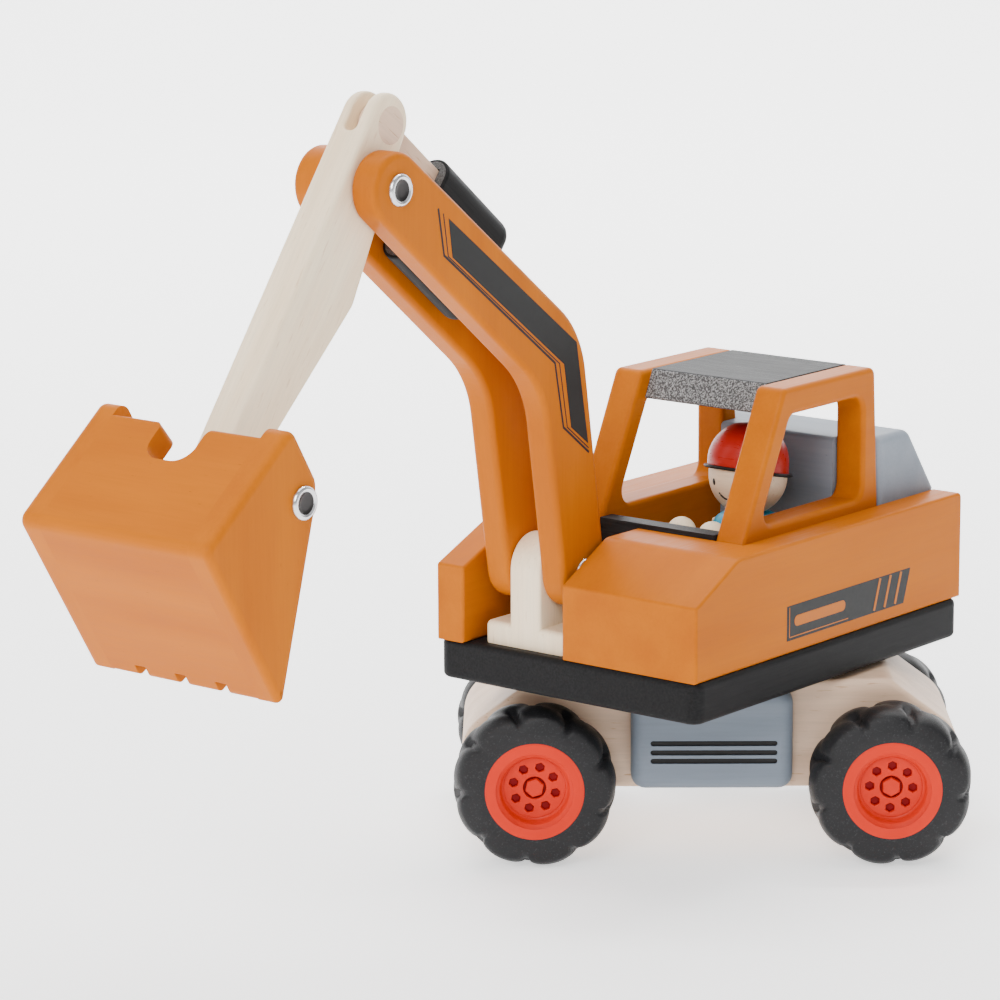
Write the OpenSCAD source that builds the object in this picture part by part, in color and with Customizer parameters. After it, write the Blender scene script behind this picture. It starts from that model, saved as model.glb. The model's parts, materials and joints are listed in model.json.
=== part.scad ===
// Wooden toy excavator: wheeled chassis, slewing upper structure, two-part digging arm, driver.
// Millimetres, +Z up. Origin on the ground under the slew axis; X runs along the chassis.
// The upper structure and arm are drawn in their own frame (x forward, y to the driver's
// left) and turned about Z by slew_deg.

/* [Chassis] */
// length of the chassis block
chassis_l = 184; // [180:1:190]
// width of the chassis block
chassis_w = 63; // [61:0.5:63.5]
// height of the chassis block's underside
chassis_z0 = 24.3; // [24:0.1:25]
// height of the chassis block's top
chassis_z1 = 65.3; // [64:0.1:65.4]
// distance between the two axles
wheelbase = 130.2; // [128:0.2:134]

/* [Wheels] */
// radius at the tips of the tyre lugs, which is also the axle height
tyre_r = 30; // [29:0.5:31]
// radius of the rim's outer ring
rim_r = 18.4; // [18:0.1:20]
// distance from the chassis centre plane to the rim's outer face
wheel_y1 = 57.3; // [57:0.1:60]
// distance from the chassis centre plane to the tyre's inner face
wheel_y0 = 33; // [32.5:0.1:34]
// axle diameter
axle_d = 5; // [4:0.5:5]

/* [Upper structure] */
// heading of the upper structure, degrees about Z from the chassis X axis
slew_deg = 231.57; // [0:0.01:360]
// width over the two fender blocks
body_w = 115.4; // [115:0.1:117]
// top of the fender blocks
fender_z1 = 122.7; // [121:0.1:123]
// thickness of the fenders, cab frames and far front block
board_t = 12.6; // [12:0.1:12.6]
// top of the cab frames and roof
cab_z1 = 175.5; // [173:0.1:178]

/* [Arm] */
// thickness of each boom plate
plate_t = 11; // [10:0.1:11]
// radius of the boom's lower end
boom_foot_r = 12.5; // [12:0.1:12.6]
// radius of the boom's head
boom_head_r = 12.8; // [12:0.1:13]
// thickness of the stick bar
stick_t = 14.4; // [14:0.1:14.4]
// width of the bucket over its side plates
bucket_w = 84; // [80:0.5:86]

/* [Driver] */
// radius of the driver's head
head_r = 14.7; // [14:0.1:15]

/* [Hidden] */
$fn = 64;
fit = 0.05;                        // radial clearance of a running fit
gap = 0.1;                         // side gap between sliding flat faces
arc_n = 10;                        // segments in a rounded corner

orange = [0.98, 0.48, 0.03];
black = [0.07, 0.07, 0.07];
beech = [0.88, 0.74, 0.55];
slate = [0.47, 0.52, 0.58];
steel = [0.75, 0.76, 0.78];
red = [0.90, 0.14, 0.06];
cyan = [0.10, 0.62, 0.85];

board_z0 = chassis_z1 + 1.9;       // underside of the base board
board_z1 = 82.1;                   // its top, on which the upper blocks stand
board_x0 = -82.4;
board_x1 = 87.5;
board_w = body_w + 2.1;
side_y = body_w / 2;               // outer face of both fender blocks
frame_y1 = side_y - board_t;       // outer face of the left cab frame
frame_y0 = frame_y1 - board_t;     // its inner face
far_y0 = -31.6;                    // outer face of the right cab frame
far_y1 = far_y0 + board_t;         // its inner face

boom_y = -21.8;                    // centre plane of the arm
plate_in = stick_t / 2 + gap;      // plate inner face from the centre plane
plate_out = plate_in + plate_t;
foot_pivot = [70.3, 110.6];        // x, z of the boom's lower pivot
head_pivot = [171.8, 260.4];       // x, z of the stick's pivot
column_lean = 8.7;                 // the boom's lower part leans forward
lower_slope = 38.65;               // slope of the upper part's lower edge
upper_slope = 37.2;                // slope of its upper edge
elbow_in = [94.0, 181.7];
elbow_out = [71.3, 199.8];
elbow_r = 36;
pin_r = 3;
cap_r = 5.75;

stick_lean = 54.2;                 // the stick points down from the head pivot by this angle
fork_ts = [4.5, -21.5];            // fork axle: forward of and below the head pivot
bucket_ts = [9.37, 118.46];        // bucket pin in the same terms
fork_axle_r = 2.5;
slot_w = 5.3;
rod_t = 4.7;
rod_eye_r = 6.5;
rod_eye_hole_r = 4.1;              // the open pivot of the ram linkage
bucket_corner = [294.8, 161.5];    // front top corner of the bucket
bucket_tip = [261.1, 105.2];       // digging edge
bucket_pin = head_pivot + bucket_ts.y * [cos(stick_lean), -sin(stick_lean)]
             + bucket_ts.x * [sin(stick_lean), cos(stick_lean)];
top_angle = -39.4;                 // direction of the top plate from its rear edge
front_angle = -120.9;              // direction of the front plate towards the digging edge
top_l = 47.6;
front_l = 65.6;
bucket_t = 9.3;

driver_xy = [-11.3, 10];
head_z = 135.2;                    // centre of the head bead's lower half
crown_z = head_z + 5.6;            // centre of the helmet's dome
torso_r = 13.5;
torso_z1 = 121.2;

// points of an arc about c from angle a0 to a1
function arc(c, r, a0, a1, n = arc_n) =
    [for (i = [0 : n]) c + r * [cos(a0 + (a1 - a0) * i / n), sin(a0 + (a1 - a0) * i / n)]];

// signed turn from direction u to direction v, degrees
function turn(u, v) = atan2(u.x * v.y - u.y * v.x, u.x * v.x + u.y * v.y);

// the corner at b between a and c, rounded to radius r
function corner(a, b, c, r) =
    let (u = (b - a) / norm(b - a),
         v = (c - b) / norm(c - b),
         t = turn(u, v),
         side = sign(t),
         start = b - u * r * tan(abs(t) / 2),
         centre = start + side * r * [-u.y, u.x],
         a0 = atan2(start.y - centre.y, start.x - centre.x))
    arc(centre, r, a0, a0 + t);

// a closed outline with every corner rounded to its own radius (0 leaves it sharp)
function rounded(pts, radii) =
    [for (i = [0 : len(pts) - 1])
        let (n = len(pts),
             a = pts[(i + n - 1) % n],
             b = pts[i],
             c = pts[(i + 1) % n],
             r = radii[i],
             run = r > 0 ? corner(a, b, c, r) : [b])
        each run];

function same(r, n) = [for (i = [1 : n]) r];

// turns the upper structure's own frame to its heading
module upper() {
    rotate([0, 0, slew_deg]) children();
}

// a board: an x, z outline between two y planes
module board(y0, y1) {
    translate([0, y1, 0]) rotate([90, 0, 0]) linear_extrude(y1 - y0) children();
}

// a rod along y between two planes, centred on an x, z point
module rod_y(at, r, y0, y1, sides = $fn) {
    translate([at.x, y0, at.y]) rotate([-90, 0, 0]) cylinder(r = r, h = y1 - y0, $fn = sides);
}

// ---- chassis ----

slope_run = 26;                    // the sloping shoulders at both ends
slope_drop = 19.6;
slew_head_r = 8;
slew_head_t = 2.5;
slew_shank_r = 4;
slew_head_z = 25.5;

module chassis_block() color(beech) difference() {
    x1 = chassis_l / 2;
    board(-chassis_w / 2, chassis_w / 2)
        polygon(rounded([[-x1, chassis_z0], [x1, chassis_z0], [x1, chassis_z1 - slope_drop],
                         [x1 - slope_run, chassis_z1], [slope_run - x1, chassis_z1],
                         [-x1, chassis_z1 - slope_drop]],
                        [3, 3, 16, 6, 6, 16]));
    for (end = [-1, 1])
        rod_y([end * wheelbase / 2, tyre_r], axle_d / 2 + fit, -chassis_w, chassis_w);
    translate([0, 0, chassis_z0 - 1]) cylinder(r = slew_shank_r + fit, h = chassis_z1);
    translate([0, 0, chassis_z0 - 1])
        cylinder(r = slew_head_r + 0.5, h = slew_head_z + slew_head_t + gap - chassis_z0 + 1);
}

tank_x0 = -29.6;
tank_x1 = 30;
tank_z0 = 25.5;
tank_z1 = 63;
tank_proud = 8.5;
groove_z = [36.7, 39.9, 43.4];
groove_h = 2;
groove_x0 = -21.5;
groove_x1 = 23.2;
groove_deep = 1;

module tank(side) color(slate) mirror([0, side < 0 ? 1 : 0, 0]) difference() {
    y0 = chassis_w / 2;
    y1 = y0 + tank_proud;
    intersection() {
        board(y0, y1)
            polygon(rounded([[tank_x0, tank_z0], [tank_x1, tank_z0],
                             [tank_x1, tank_z1], [tank_x0, tank_z1]], same(3, 4)));
        translate([0, 0, tank_z0]) linear_extrude(tank_z1 - tank_z0)
            polygon(rounded([[tank_x0, y0], [tank_x1, y0], [tank_x1, y1], [tank_x0, y1]],
                            [0, 0, 5, 5]));
    }
    for (z = groove_z) {
        translate([groove_x0, y1 - groove_deep, z - groove_h / 2])
            cube([groove_x1 - groove_x0, 2 * groove_deep, groove_h]);
        for (x = [groove_x0, groove_x1])
            rod_y([x, z], groove_h / 2, y1 - groove_deep, y1 + groove_deep, 24);
    }
}
module tank_left() tank(-1);
module tank_right() tank(1);

module slew_washer() color(black) difference() {
    translate([0, 0, chassis_z1]) cylinder(r = 16, h = board_z0 - chassis_z1 - 2 * gap);
    translate([0, 0, chassis_z1 - 1]) cylinder(r = slew_shank_r + 0.5, h = 10);
}

// ---- wheels ----

barrel_r = rim_r - 2;              // the rim under the tyre bead
rim_y0 = 38;                       // the rim's inner end
disc_t = 2.5;
disc_y = wheel_y1 - 6.8;           // face of the rim's disc
hub_r = 3.6;                       // six-sided hub cap
hub_h = 2.4;
holes = 8;                         // six-sided pits in the disc
hole_ring_r = 7.9;
hole_r = 1.7;
hole_deep = 2;
lugs = 9;                          // lugs on each side of a tyre
lug_deg = 24;
tread_r = tyre_r - 2.6;

// places a wheel drawn on +Y with its axis on Y: end -1 is the front, side -1 the left
module at_wheel(end, side) {
    translate([end * wheelbase / 2, 0, tyre_r])
        mirror([0, side < 0 ? 1 : 0, 0]) rotate([-90, 0, 0]) children();
}

module rim(end, side) color(red) at_wheel(end, side) difference() {
    union() {
        rotate_extrude()
            polygon([[axle_d / 2, rim_y0], [barrel_r, rim_y0], [barrel_r, wheel_y1 - 2],
                     [rim_r, wheel_y1 - 2], [rim_r, wheel_y1 - 0.5], [rim_r - 0.5, wheel_y1],
                     [rim_r - 4.1, wheel_y1], [rim_r - 5.5, wheel_y1 - 1.5],
                     [rim_r - 7, disc_y], [0, disc_y], [0, disc_y - disc_t],
                     [axle_d / 2, disc_y - disc_t]]);
        translate([0, 0, disc_y - 1]) cylinder(r = hub_r, h = hub_h + 1, $fn = 6);
    }
    for (i = [1 : holes])
        rotate([0, 0, i * 360 / holes]) translate([hole_ring_r, 0, disc_y - hole_deep])
            cylinder(r = hole_r, h = 2 * hole_deep, $fn = 6);
}

module tyre(end, side) color(black) at_wheel(end, side) {
    mid = (wheel_y0 + wheel_y1) / 2;
    rotate_extrude()
        polygon([[barrel_r + fit, wheel_y0 + 3], [rim_r, wheel_y0 + 1],
                 [rim_r + 3.6, wheel_y0], [tread_r - 1.2, wheel_y0 + 1.2],
                 [tread_r, wheel_y0 + 4], [tread_r, wheel_y1 - 4.3],
                 [tread_r - 1.2, wheel_y1 - 1.5], [rim_r + 3.6, wheel_y1 - 0.3],
                 [rim_r + 0.2, wheel_y1 - 1.2], [rim_r + 0.2, wheel_y1 - 2],
                 [barrel_r + fit, wheel_y1 - 2]]);
    for (i = [0 : 2 * lugs - 1])
        rotate([0, 0, -90 + i * 180 / lugs])
            lug(i % 2 == 0 ? mid - 1 : wheel_y0 + 0.8, i % 2 == 0 ? wheel_y1 - 1.1 : mid + 1);
}

// one tread lug, centred on +X, between two planes
module lug(w0, w1) {
    rotate([0, 0, -lug_deg / 2]) rotate_extrude(angle = lug_deg)
        polygon([[tread_r - 2, w0], [tyre_r - 0.8, w0], [tyre_r, w0 + 1],
                 [tyre_r, w1 - 2], [tyre_r - 1.4, w1], [tread_r - 2, w1]]);
}

module axle(end) color(steel)
    rod_y([end * wheelbase / 2, tyre_r], axle_d / 2, disc_t - disc_y, disc_y - disc_t);

module front_axle() axle(-1);
module front_rim_left() rim(-1, -1);
module front_rim_right() rim(-1, 1);
module front_tyre_left() tyre(-1, -1);
module front_tyre_right() tyre(-1, 1);
module rear_axle() axle(1);
module rear_rim_left() rim(1, -1);
module rear_rim_right() rim(1, 1);
module rear_tyre_left() tyre(1, -1);
module rear_tyre_right() tyre(1, 1);

// ---- upper structure ----

pin_top = board_z1 - 3;

module slew_pin() color(steel) {
    translate([0, 0, slew_head_z]) cylinder(r = slew_head_r, h = slew_head_t);
    translate([0, 0, slew_head_z]) cylinder(r = slew_shank_r, h = pin_top - slew_head_z);
}

module base_board() color(black) upper() difference() {
    translate([0, 0, board_z0]) linear_extrude(board_z1 - board_z0)
        polygon(rounded([[board_x0, -board_w / 2], [board_x1, -board_w / 2],
                         [board_x1, board_w / 2], [board_x0, board_w / 2]], same(5, 4)));
    translate([0, 0, board_z0 - 1]) cylinder(r = slew_shank_r, h = pin_top - board_z0 + 1);
}

hood_x1 = 86.5;
hood_y0 = -1.9;
hood_z1 = 109.4;                   // front edge of the hood's sloping top
hood_slope_x = 61;                 // where the slope meets the flat top
fender_x0 = -84.5;
far_fender_x1 = hood_x1 + 2.8;
hood_x0 = 42;                      // rear of the hood, in front of the cab

module side_outline(x0, x1, z1, slope_x) {
    polygon(rounded([[x0, board_z1], [x1, board_z1], [x1, z1],
                     [slope_x, fender_z1], [x0, fender_z1]], [0, 0, 1.2, 8, 2]));
}

module left_fender() color(orange) upper() {
    board(frame_y1, side_y) side_outline(fender_x0, hood_x1, hood_z1, hood_slope_x);
    board(hood_y0, frame_y1 + 1) side_outline(hood_x0, hood_x1, hood_z1, hood_slope_x);
}

module right_fender() color(orange) upper() {
    board(-side_y, board_t - side_y)
        side_outline(fender_x0, far_fender_x1, hood_z1 + 1.1, hood_slope_x);
    board(board_t - side_y - 1, far_y0)
        polygon([[fender_x0, board_z1], [hood_x0, board_z1], [hood_x0, fender_z1],
                 [fender_x0, fender_z1]]);
}

cab_x0 = -46.1;                    // rear edge of the cab frames
cab_x1 = 41.5;                     // front edge below the windscreen
screen_z = 121.6;                  // foot of the sloping windscreen post
screen_x = 16;                     // its top
window_x0 = -35.5;
window_x1 = 30.2;                  // front edge of the window at its foot
window_x2 = 11.3;                  // and at its top
window_z0 = 126.9;
window_z1 = cab_z1 - 10;

module cab_frame(y0, y1) color(orange) upper() board(y0, y1) difference() {
    polygon(rounded([[cab_x0, board_z1], [cab_x1, board_z1], [cab_x1, screen_z],
                     [screen_x, cab_z1], [cab_x0 + 2.9, cab_z1], [cab_x0, dash_z1]],
                    [0, 0, 2, 3, 3, 2]));
    polygon(rounded([[window_x0, window_z0], [window_x1, window_z0],
                     [window_x2, window_z1], [window_x0, window_z1]], [5, 5, 5, 6]));
}
module cab_frame_left() cab_frame(frame_y0, frame_y1);
module cab_frame_right() cab_frame(far_y0, far_y1);

roof_z0 = cab_z1 - 10.7;
roof_x0 = cab_x0 + 4.1;
roof_x1 = screen_x - 1.5;
module cab_roof() color(black) upper() board(far_y1, frame_y0)
    polygon([[roof_x0, roof_z0], [roof_x1, roof_z0], [roof_x1 - 5, cab_z1], [roof_x0, cab_z1]]);

dash_z1 = 124.5;
dash_t = 7;
module dash_board() color(black) upper()
    translate([cab_x1 - dash_t, far_y1, board_z1])
        cube([dash_t, frame_y0 - far_y1, dash_z1 - board_z1]);

seat_x0 = -34;
seat_x1 = -12;
seat_y0 = -7;
seat_w = 39;
seat_z1 = 117;
module seat_block() color(beech) upper() difference() {
    translate([seat_x0, seat_y0, board_z1]) cube([seat_x1 - seat_x0, seat_w, seat_z1 - board_z1]);
    translate([driver_xy.x, driver_xy.y, board_z1 - 1]) cylinder(r = torso_r + 0.4, h = 60);
}

lever_x = 22;
lever_ys = [3.8, 17.8];
lever_z = 118.8;
lever_r = 5.5;
lever_post_r = 3;
module control_levers() color(beech) upper()
    for (y = lever_ys)
        translate([lever_x, y, board_z1]) {
            cylinder(r = lever_post_r, h = lever_z - board_z1);
            translate([0, 0, lever_z - board_z1]) sphere(r = lever_r);
        }

engine_z1 = 148.7;
engine_x0 = -84;
engine_x1 = -34;
engine_slope_x = -67;              // rear edge of its flat top
engine_sill_z = 123.4;             // foot of its sloping back
module engine_block() color(slate) upper() {
    board(far_y1, frame_y0)
        polygon(rounded([[engine_x0, board_z1], [engine_x1, board_z1], [engine_x1, engine_z1],
                         [engine_slope_x, engine_z1], [engine_x0 - 1.3, engine_sill_z],
                         [engine_x0, engine_sill_z - 2.4]], [0, 0, 2, 6, 1, 0]));
    board(far_y0, frame_y1)
        polygon(rounded([[engine_x0, board_z1], [cab_x0 - 0.3, board_z1],
                         [cab_x0 - 0.3, dash_z1], [cab_x0 + 1.1, engine_z1 - 0.4],
                         [engine_slope_x, engine_z1 - 0.4], [engine_x0 - 1.3, engine_sill_z - 0.4],
                         [engine_x0, engine_sill_z - 2.4]], [0, 0, 0, 2, 6, 1, 0]));
}

foot_x0 = 57.6;
foot_x1 = 82.6;
foot_y0 = -39.9;
foot_w = 36.2;
foot_z1 = 90.5;                    // top of the foot's wide plinth
module boom_foot() color(beech) upper() difference() {
    union() {
        translate([foot_x0, foot_y0, board_z1])
            cube([foot_x1 - foot_x0, foot_w, foot_z1 - board_z1]);
        board(boom_y - plate_in + 3 * gap, boom_y + plate_in - 3 * gap) {
            polygon([[foot_x0, board_z1], [foot_x1, board_z1],
                     [foot_pivot.x + boom_foot_r, foot_pivot.y],
                     [foot_pivot.x - boom_foot_r, foot_pivot.y]]);
            translate(foot_pivot) circle(r = boom_foot_r);
        }
    }
    rod_y(foot_pivot, pin_r + fit, boom_y - 20, boom_y + 20);
}

// ---- boom ----

// outline of a boom plate: an upright lower part and a sloping upper part
module boom_outline() {
    polygon(concat(arc(foot_pivot, boom_foot_r, 180 - column_lean, 360 - column_lean, 24),
                   corner(foot_pivot + boom_foot_r * [cos(column_lean), -sin(column_lean)],
                          elbow_in,
                          head_pivot + boom_head_r * [sin(lower_slope), -cos(lower_slope)],
                          elbow_r),
                   arc(head_pivot, boom_head_r, lower_slope - 90, upper_slope + 90, 24),
                   corner(head_pivot + boom_head_r * [-sin(upper_slope), cos(upper_slope)],
                          elbow_out,
                          foot_pivot + boom_foot_r * [-cos(column_lean), sin(column_lean)],
                          elbow_r)));
}

module boom_plate(y0, y1) color(orange) upper() difference() {
    board(y0, y1) boom_outline();
    for (at = [foot_pivot, head_pivot])
        rod_y(at, pin_r, y0 - 1, y1 + 1);
}
module boom_plate_left() boom_plate(boom_y + plate_in, boom_y + plate_out);
module boom_plate_right() boom_plate(boom_y - plate_out, boom_y - plate_in);

// frame of the boom's upper part: +X towards the head pivot, +Z square to it, upwards
module at_head() {
    translate([head_pivot.x, boom_y, head_pivot.y]) rotate([0, -lower_slope, 0]) children();
}

ram_a0 = -74;                      // the ram's rear and front ends
ram_a1 = -30;
ram_top = 23.1;                    // centres of its rounded upper and lower edges
ram_bottom = -2.7;
rod_n0 = 17.8;                     // the rod's lower and upper faces
rod_n1 = 26;
rod_back = -54;
ram_well_back = -72;
well_gap = (slot_w - rod_t) / 2;   // room around the rod in its well

module ram_block() color(black) upper() at_head() difference() {
    union() {
        for (n = [ram_top, ram_bottom])
            translate([ram_a0, 0, n]) rotate([0, 90, 0])
                cylinder(r = plate_in, h = ram_a1 - ram_a0);
        translate([ram_a0, -plate_in, ram_bottom])
            cube([ram_a1 - ram_a0, 2 * plate_in, ram_top - ram_bottom]);
    }
    translate([ram_well_back, -slot_w / 2, rod_n0 - well_gap])
        cube([ram_a1 - ram_well_back + 1, slot_w, rod_n1 - rod_n0 + 2 * well_gap]);
}

foot_cap_t = 1.1;
head_cap_t = 1.6;

module pin_caps(at, t) color(steel) upper() {
    rod_y(at, cap_r, boom_y + plate_out, boom_y + plate_out + t);
    rod_y(at, cap_r, boom_y - plate_out - t, boom_y - plate_out);
}
module foot_pin() color(steel) upper()
    rod_y(foot_pivot, pin_r, boom_y - plate_out, boom_y + plate_out);
module foot_pin_caps() pin_caps(foot_pivot, foot_cap_t);
module head_pin() color(steel) upper()
    rod_y(head_pivot, pin_r, boom_y - plate_out, boom_y + plate_out);
module head_pin_caps() pin_caps(head_pivot, head_cap_t);

// ---- stick and ram rod ----

// frame of the stick: +X square to it, forwards, -Z along it, downwards
module at_stick() {
    translate([head_pivot.x, boom_y, head_pivot.y]) rotate([0, -(90 - stick_lean), 0]) children();
}

front_t = 15.4;                    // the stick's straight front edge
fork_r = 10;
fork_end = [front_t - fork_r, 22];   // centre of the fork's rounded tips
shoulder = [-14.2, 38];
heel_r = 7.2;
heel_ts = [front_t - heel_r, bucket_ts.y];
slot_bottom = 13.2;                // depth of the fork slot's floor above the head pivot

module stick_bar() color(beech) upper() at_stick() difference() {
    board(-stick_t / 2, stick_t / 2)
        polygon(concat(arc([heel_ts.x, -heel_ts.y], heel_r, 192, 360, 20),
                       arc(fork_end, fork_r, 0, 176, 24),
                       corner([fork_end.x - fork_r, fork_end.y], [shoulder.x, -shoulder.y],
                              [heel_ts.x - heel_r, -heel_ts.y], 10)));
    rod_y([0, 0], pin_r + fit, -20, 20);
    rod_y([fork_ts.x, -fork_ts.y], fork_axle_r, -20, 20);
    rod_y([bucket_ts.x, -bucket_ts.y], pin_r + fit, -20, 20);
    for (side = [-1, 1])
        rod_y([fork_ts.x, -fork_ts.y], plug_r, side * (stick_t / 2 - plug_t / 2) - plug_t / 2,
              side * (stick_t / 2 - plug_t / 2) + plug_t / 2);
    translate([-40, -slot_w / 2, slot_bottom]) cube([80, slot_w, 40]);
}

plug_r = 6.7;
plug_t = 2;
module fork_axle() color(steel) upper() at_stick()
    rod_y([fork_ts.x, -fork_ts.y], fork_axle_r, plug_t - stick_t / 2, stick_t / 2 - plug_t);
module fork_plugs() color(beech) upper() at_stick()
    for (side = [-1, 1])
        rod_y([fork_ts.x, -fork_ts.y], plug_r, side * (stick_t / 2 - plug_t / 2) - plug_t / 2,
              side * (stick_t / 2 - plug_t / 2) + plug_t / 2);

// the fork axle's place in the frame of the boom's upper part
swing = 90 - stick_lean - lower_slope;
eye = [fork_ts.x * cos(swing) + fork_ts.y * sin(swing),
       fork_ts.x * sin(swing) - fork_ts.y * cos(swing)];

module ram_rod() color(beech) upper() at_head() difference() {
    union() {
        translate([rod_back, -rod_t / 2, rod_n0])
            cube([eye.x - rod_back, rod_t, rod_n1 - rod_n0]);
        rod_y(eye, rod_eye_r, -rod_t / 2, rod_t / 2);
    }
    rod_y(eye, rod_eye_hole_r, -rod_t, rod_t);
}

// ---- bucket ----

function along(deg) = [cos(deg), sin(deg)];
bucket_rear = bucket_corner - top_l * along(top_angle);
fold = top_angle - front_angle;    // turn from the top plate into the front plate
bucket_joint = bucket_corner + bucket_t / sin(fold) * along(front_angle);
front_inward = -bucket_t * along(front_angle + 90);
bucket_peak = bucket_corner - 54 * along(top_angle);   // a side plate's highest corner
bucket_shoulder = [241.2, 176];    // its rear corners
bucket_heel = [241.4, 168.5];

module bucket_side(side) color(orange) upper() difference() {
    inner = bucket_w / 2 - bucket_t;
    y0 = side > 0 ? boom_y + inner : boom_y - bucket_w / 2;
    board(y0, y0 + bucket_t)
        polygon(rounded([bucket_tip, bucket_corner, bucket_peak, bucket_shoulder, bucket_heel,
                         bucket_tip + 0.3 * front_inward], [1.5, 4, 4, 6, 8, 1]));
    rod_y(bucket_pin, pin_r, y0 - 1, y0 + bucket_t + 1);
}
module bucket_side_left() bucket_side(1);
module bucket_side_right() bucket_side(-1);

notch_w = 20;
notch_l = 15;
notch_r = 7;
mouth_r = 3.5;                     // rounding where the notch meets the plate's rear edge
kerf_w = 4.6;
kerf_l = 5;
kerf_pitch = 18;

// frame of a bucket plate: +X along it from a point of its outer face, +Z outwards
module at_plate(start, deg) {
    translate([start.x, boom_y, start.y]) rotate([0, -deg, 0]) children();
}

// the top plate lies between the side plates, with a notch for the stick in its rear edge
module bucket_top() color(orange) upper() difference() {
    inward = -bucket_t * along(top_angle + 90);
    board(boom_y + bucket_t - bucket_w / 2, boom_y - bucket_t + bucket_w / 2)
        polygon(rounded([bucket_rear, bucket_rear + inward, bucket_joint, bucket_corner],
                        [1, 1, 0, 4]));
    at_plate(bucket_rear, top_angle) notch_cut();
}

// cuts the notch: straight sides and an end with rounded corners
module notch_cut() {
    translate([-1, -notch_w / 2, -2 * bucket_t])
        cube([notch_l - notch_r + 1, notch_w, 4 * bucket_t]);
    for (side = [-1, 1])
        translate([notch_l - notch_r, side * (notch_w / 2 - notch_r), -2 * bucket_t])
            cylinder(r = notch_r, h = 4 * bucket_t);
    translate([0, notch_r - notch_w / 2, -2 * bucket_t])
        cube([notch_l, notch_w - 2 * notch_r, 4 * bucket_t]);
    for (side = [0, 1])
        mirror([0, side, 0]) difference() {
            translate([-1, notch_w / 2 - 1, -2 * bucket_t])
                cube([mouth_r + 1, mouth_r + 1, 4 * bucket_t]);
            translate([mouth_r, notch_w / 2 + mouth_r, -3 * bucket_t])
                cylinder(r = mouth_r, h = 6 * bucket_t);
        }
}

// the front plate hangs from the top plate's front edge, with kerfs in the digging edge
module bucket_front() color(orange) upper() difference() {
    inner_corner = bucket_joint - bucket_t / sin(fold) * along(top_angle);
    board(boom_y + bucket_t - bucket_w / 2, boom_y - bucket_t + bucket_w / 2)
        polygon(rounded([bucket_joint, inner_corner, bucket_tip + front_inward, bucket_tip],
                        [0, 0, 2, 2]));
    at_plate(bucket_corner, front_angle)
        for (i = [-1 : 1])
            translate([front_l - kerf_l, i * kerf_pitch - kerf_w / 2, -2 * bucket_t])
                cube([2 * kerf_l, kerf_w, 4 * bucket_t]);
}

module bucket_pin_rod() color(steel) upper()
    rod_y(bucket_pin, pin_r, boom_y - bucket_w / 2, boom_y + bucket_w / 2);
module bucket_pin_caps() color(steel) upper()
    for (y = [boom_y + bucket_w / 2, boom_y - bucket_w / 2 - head_cap_t])
        rod_y(bucket_pin, cap_r, y, y + head_cap_t);

// ---- driver ----

shoulder_r = 6;
brim_z = head_z + 1.8;             // centre of the helmet's rim
brim_tilt = 12;                    // the rim rises towards the front
brim_t = 1.4;

module at_driver() {
    upper() translate([driver_xy.x, driver_xy.y, 0]) children();
}

module driver_body() color(cyan) at_driver() difference() {
    rotate_extrude()
        polygon(concat([[0, board_z1 + gap], [torso_r, board_z1 + gap]],
                       arc([torso_r - shoulder_r, torso_z1 - shoulder_r], shoulder_r, 0, 90, 8),
                       [[0, torso_z1]]));
    head_form();
}

// head and helmet together: a bead with a short straight middle
module head_form()
    rotate_extrude()
        polygon(concat(arc([0, head_z], head_r, -90, 0, 16), arc([0, crown_z], head_r, 0, 90, 16)));

// the tilted frame of the helmet's rim
module at_brim() {
    translate([0, 0, brim_z]) rotate([0, -brim_tilt, 0]) children();
}

module driver_head() color(beech) at_driver() difference() {
    head_form();
    at_brim() translate([0, 0, 50]) cube(100, center = true);
}
module driver_helmet() color(red) at_driver() difference() {
    head_form();
    at_brim() translate([0, 0, -50]) cube(100, center = true);
}
module driver_brim() color(black) at_driver() difference() {
    at_brim() translate([0, 0, -brim_t / 2]) cylinder(r = head_r + 2, h = brim_t);
    head_form();
}

chassis_block();
tank_left();
tank_right();
slew_washer();
front_axle();
front_rim_left();
front_rim_right();
front_tyre_left();
front_tyre_right();
rear_axle();
rear_rim_left();
rear_rim_right();
rear_tyre_left();
rear_tyre_right();
slew_pin();
base_board();
left_fender();
right_fender();
cab_frame_left();
cab_frame_right();
cab_roof();
dash_board();
seat_block();
control_levers();
engine_block();
boom_foot();
boom_plate_left();
boom_plate_right();
ram_block();
foot_pin();
foot_pin_caps();
head_pin();
head_pin_caps();
stick_bar();
fork_axle();
fork_plugs();
ram_rod();
bucket_side_left();
bucket_side_right();
bucket_top();
bucket_front();
bucket_pin_rod();
bucket_pin_caps();
driver_body();
driver_head();
driver_helmet();
driver_brim();
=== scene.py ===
"""Looks for the wooden toy excavator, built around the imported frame.

Lengths are in millimetres and become metres where a mesh is made. Pieces of the upper structure
and arm are drawn in its own frame: x forward, y to the driver's left, z up.
"""
import json
import math

import bpy
import bmesh
from mathutils import Matrix, Vector
from mathutils.geometry import tessellate_polygon


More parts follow.
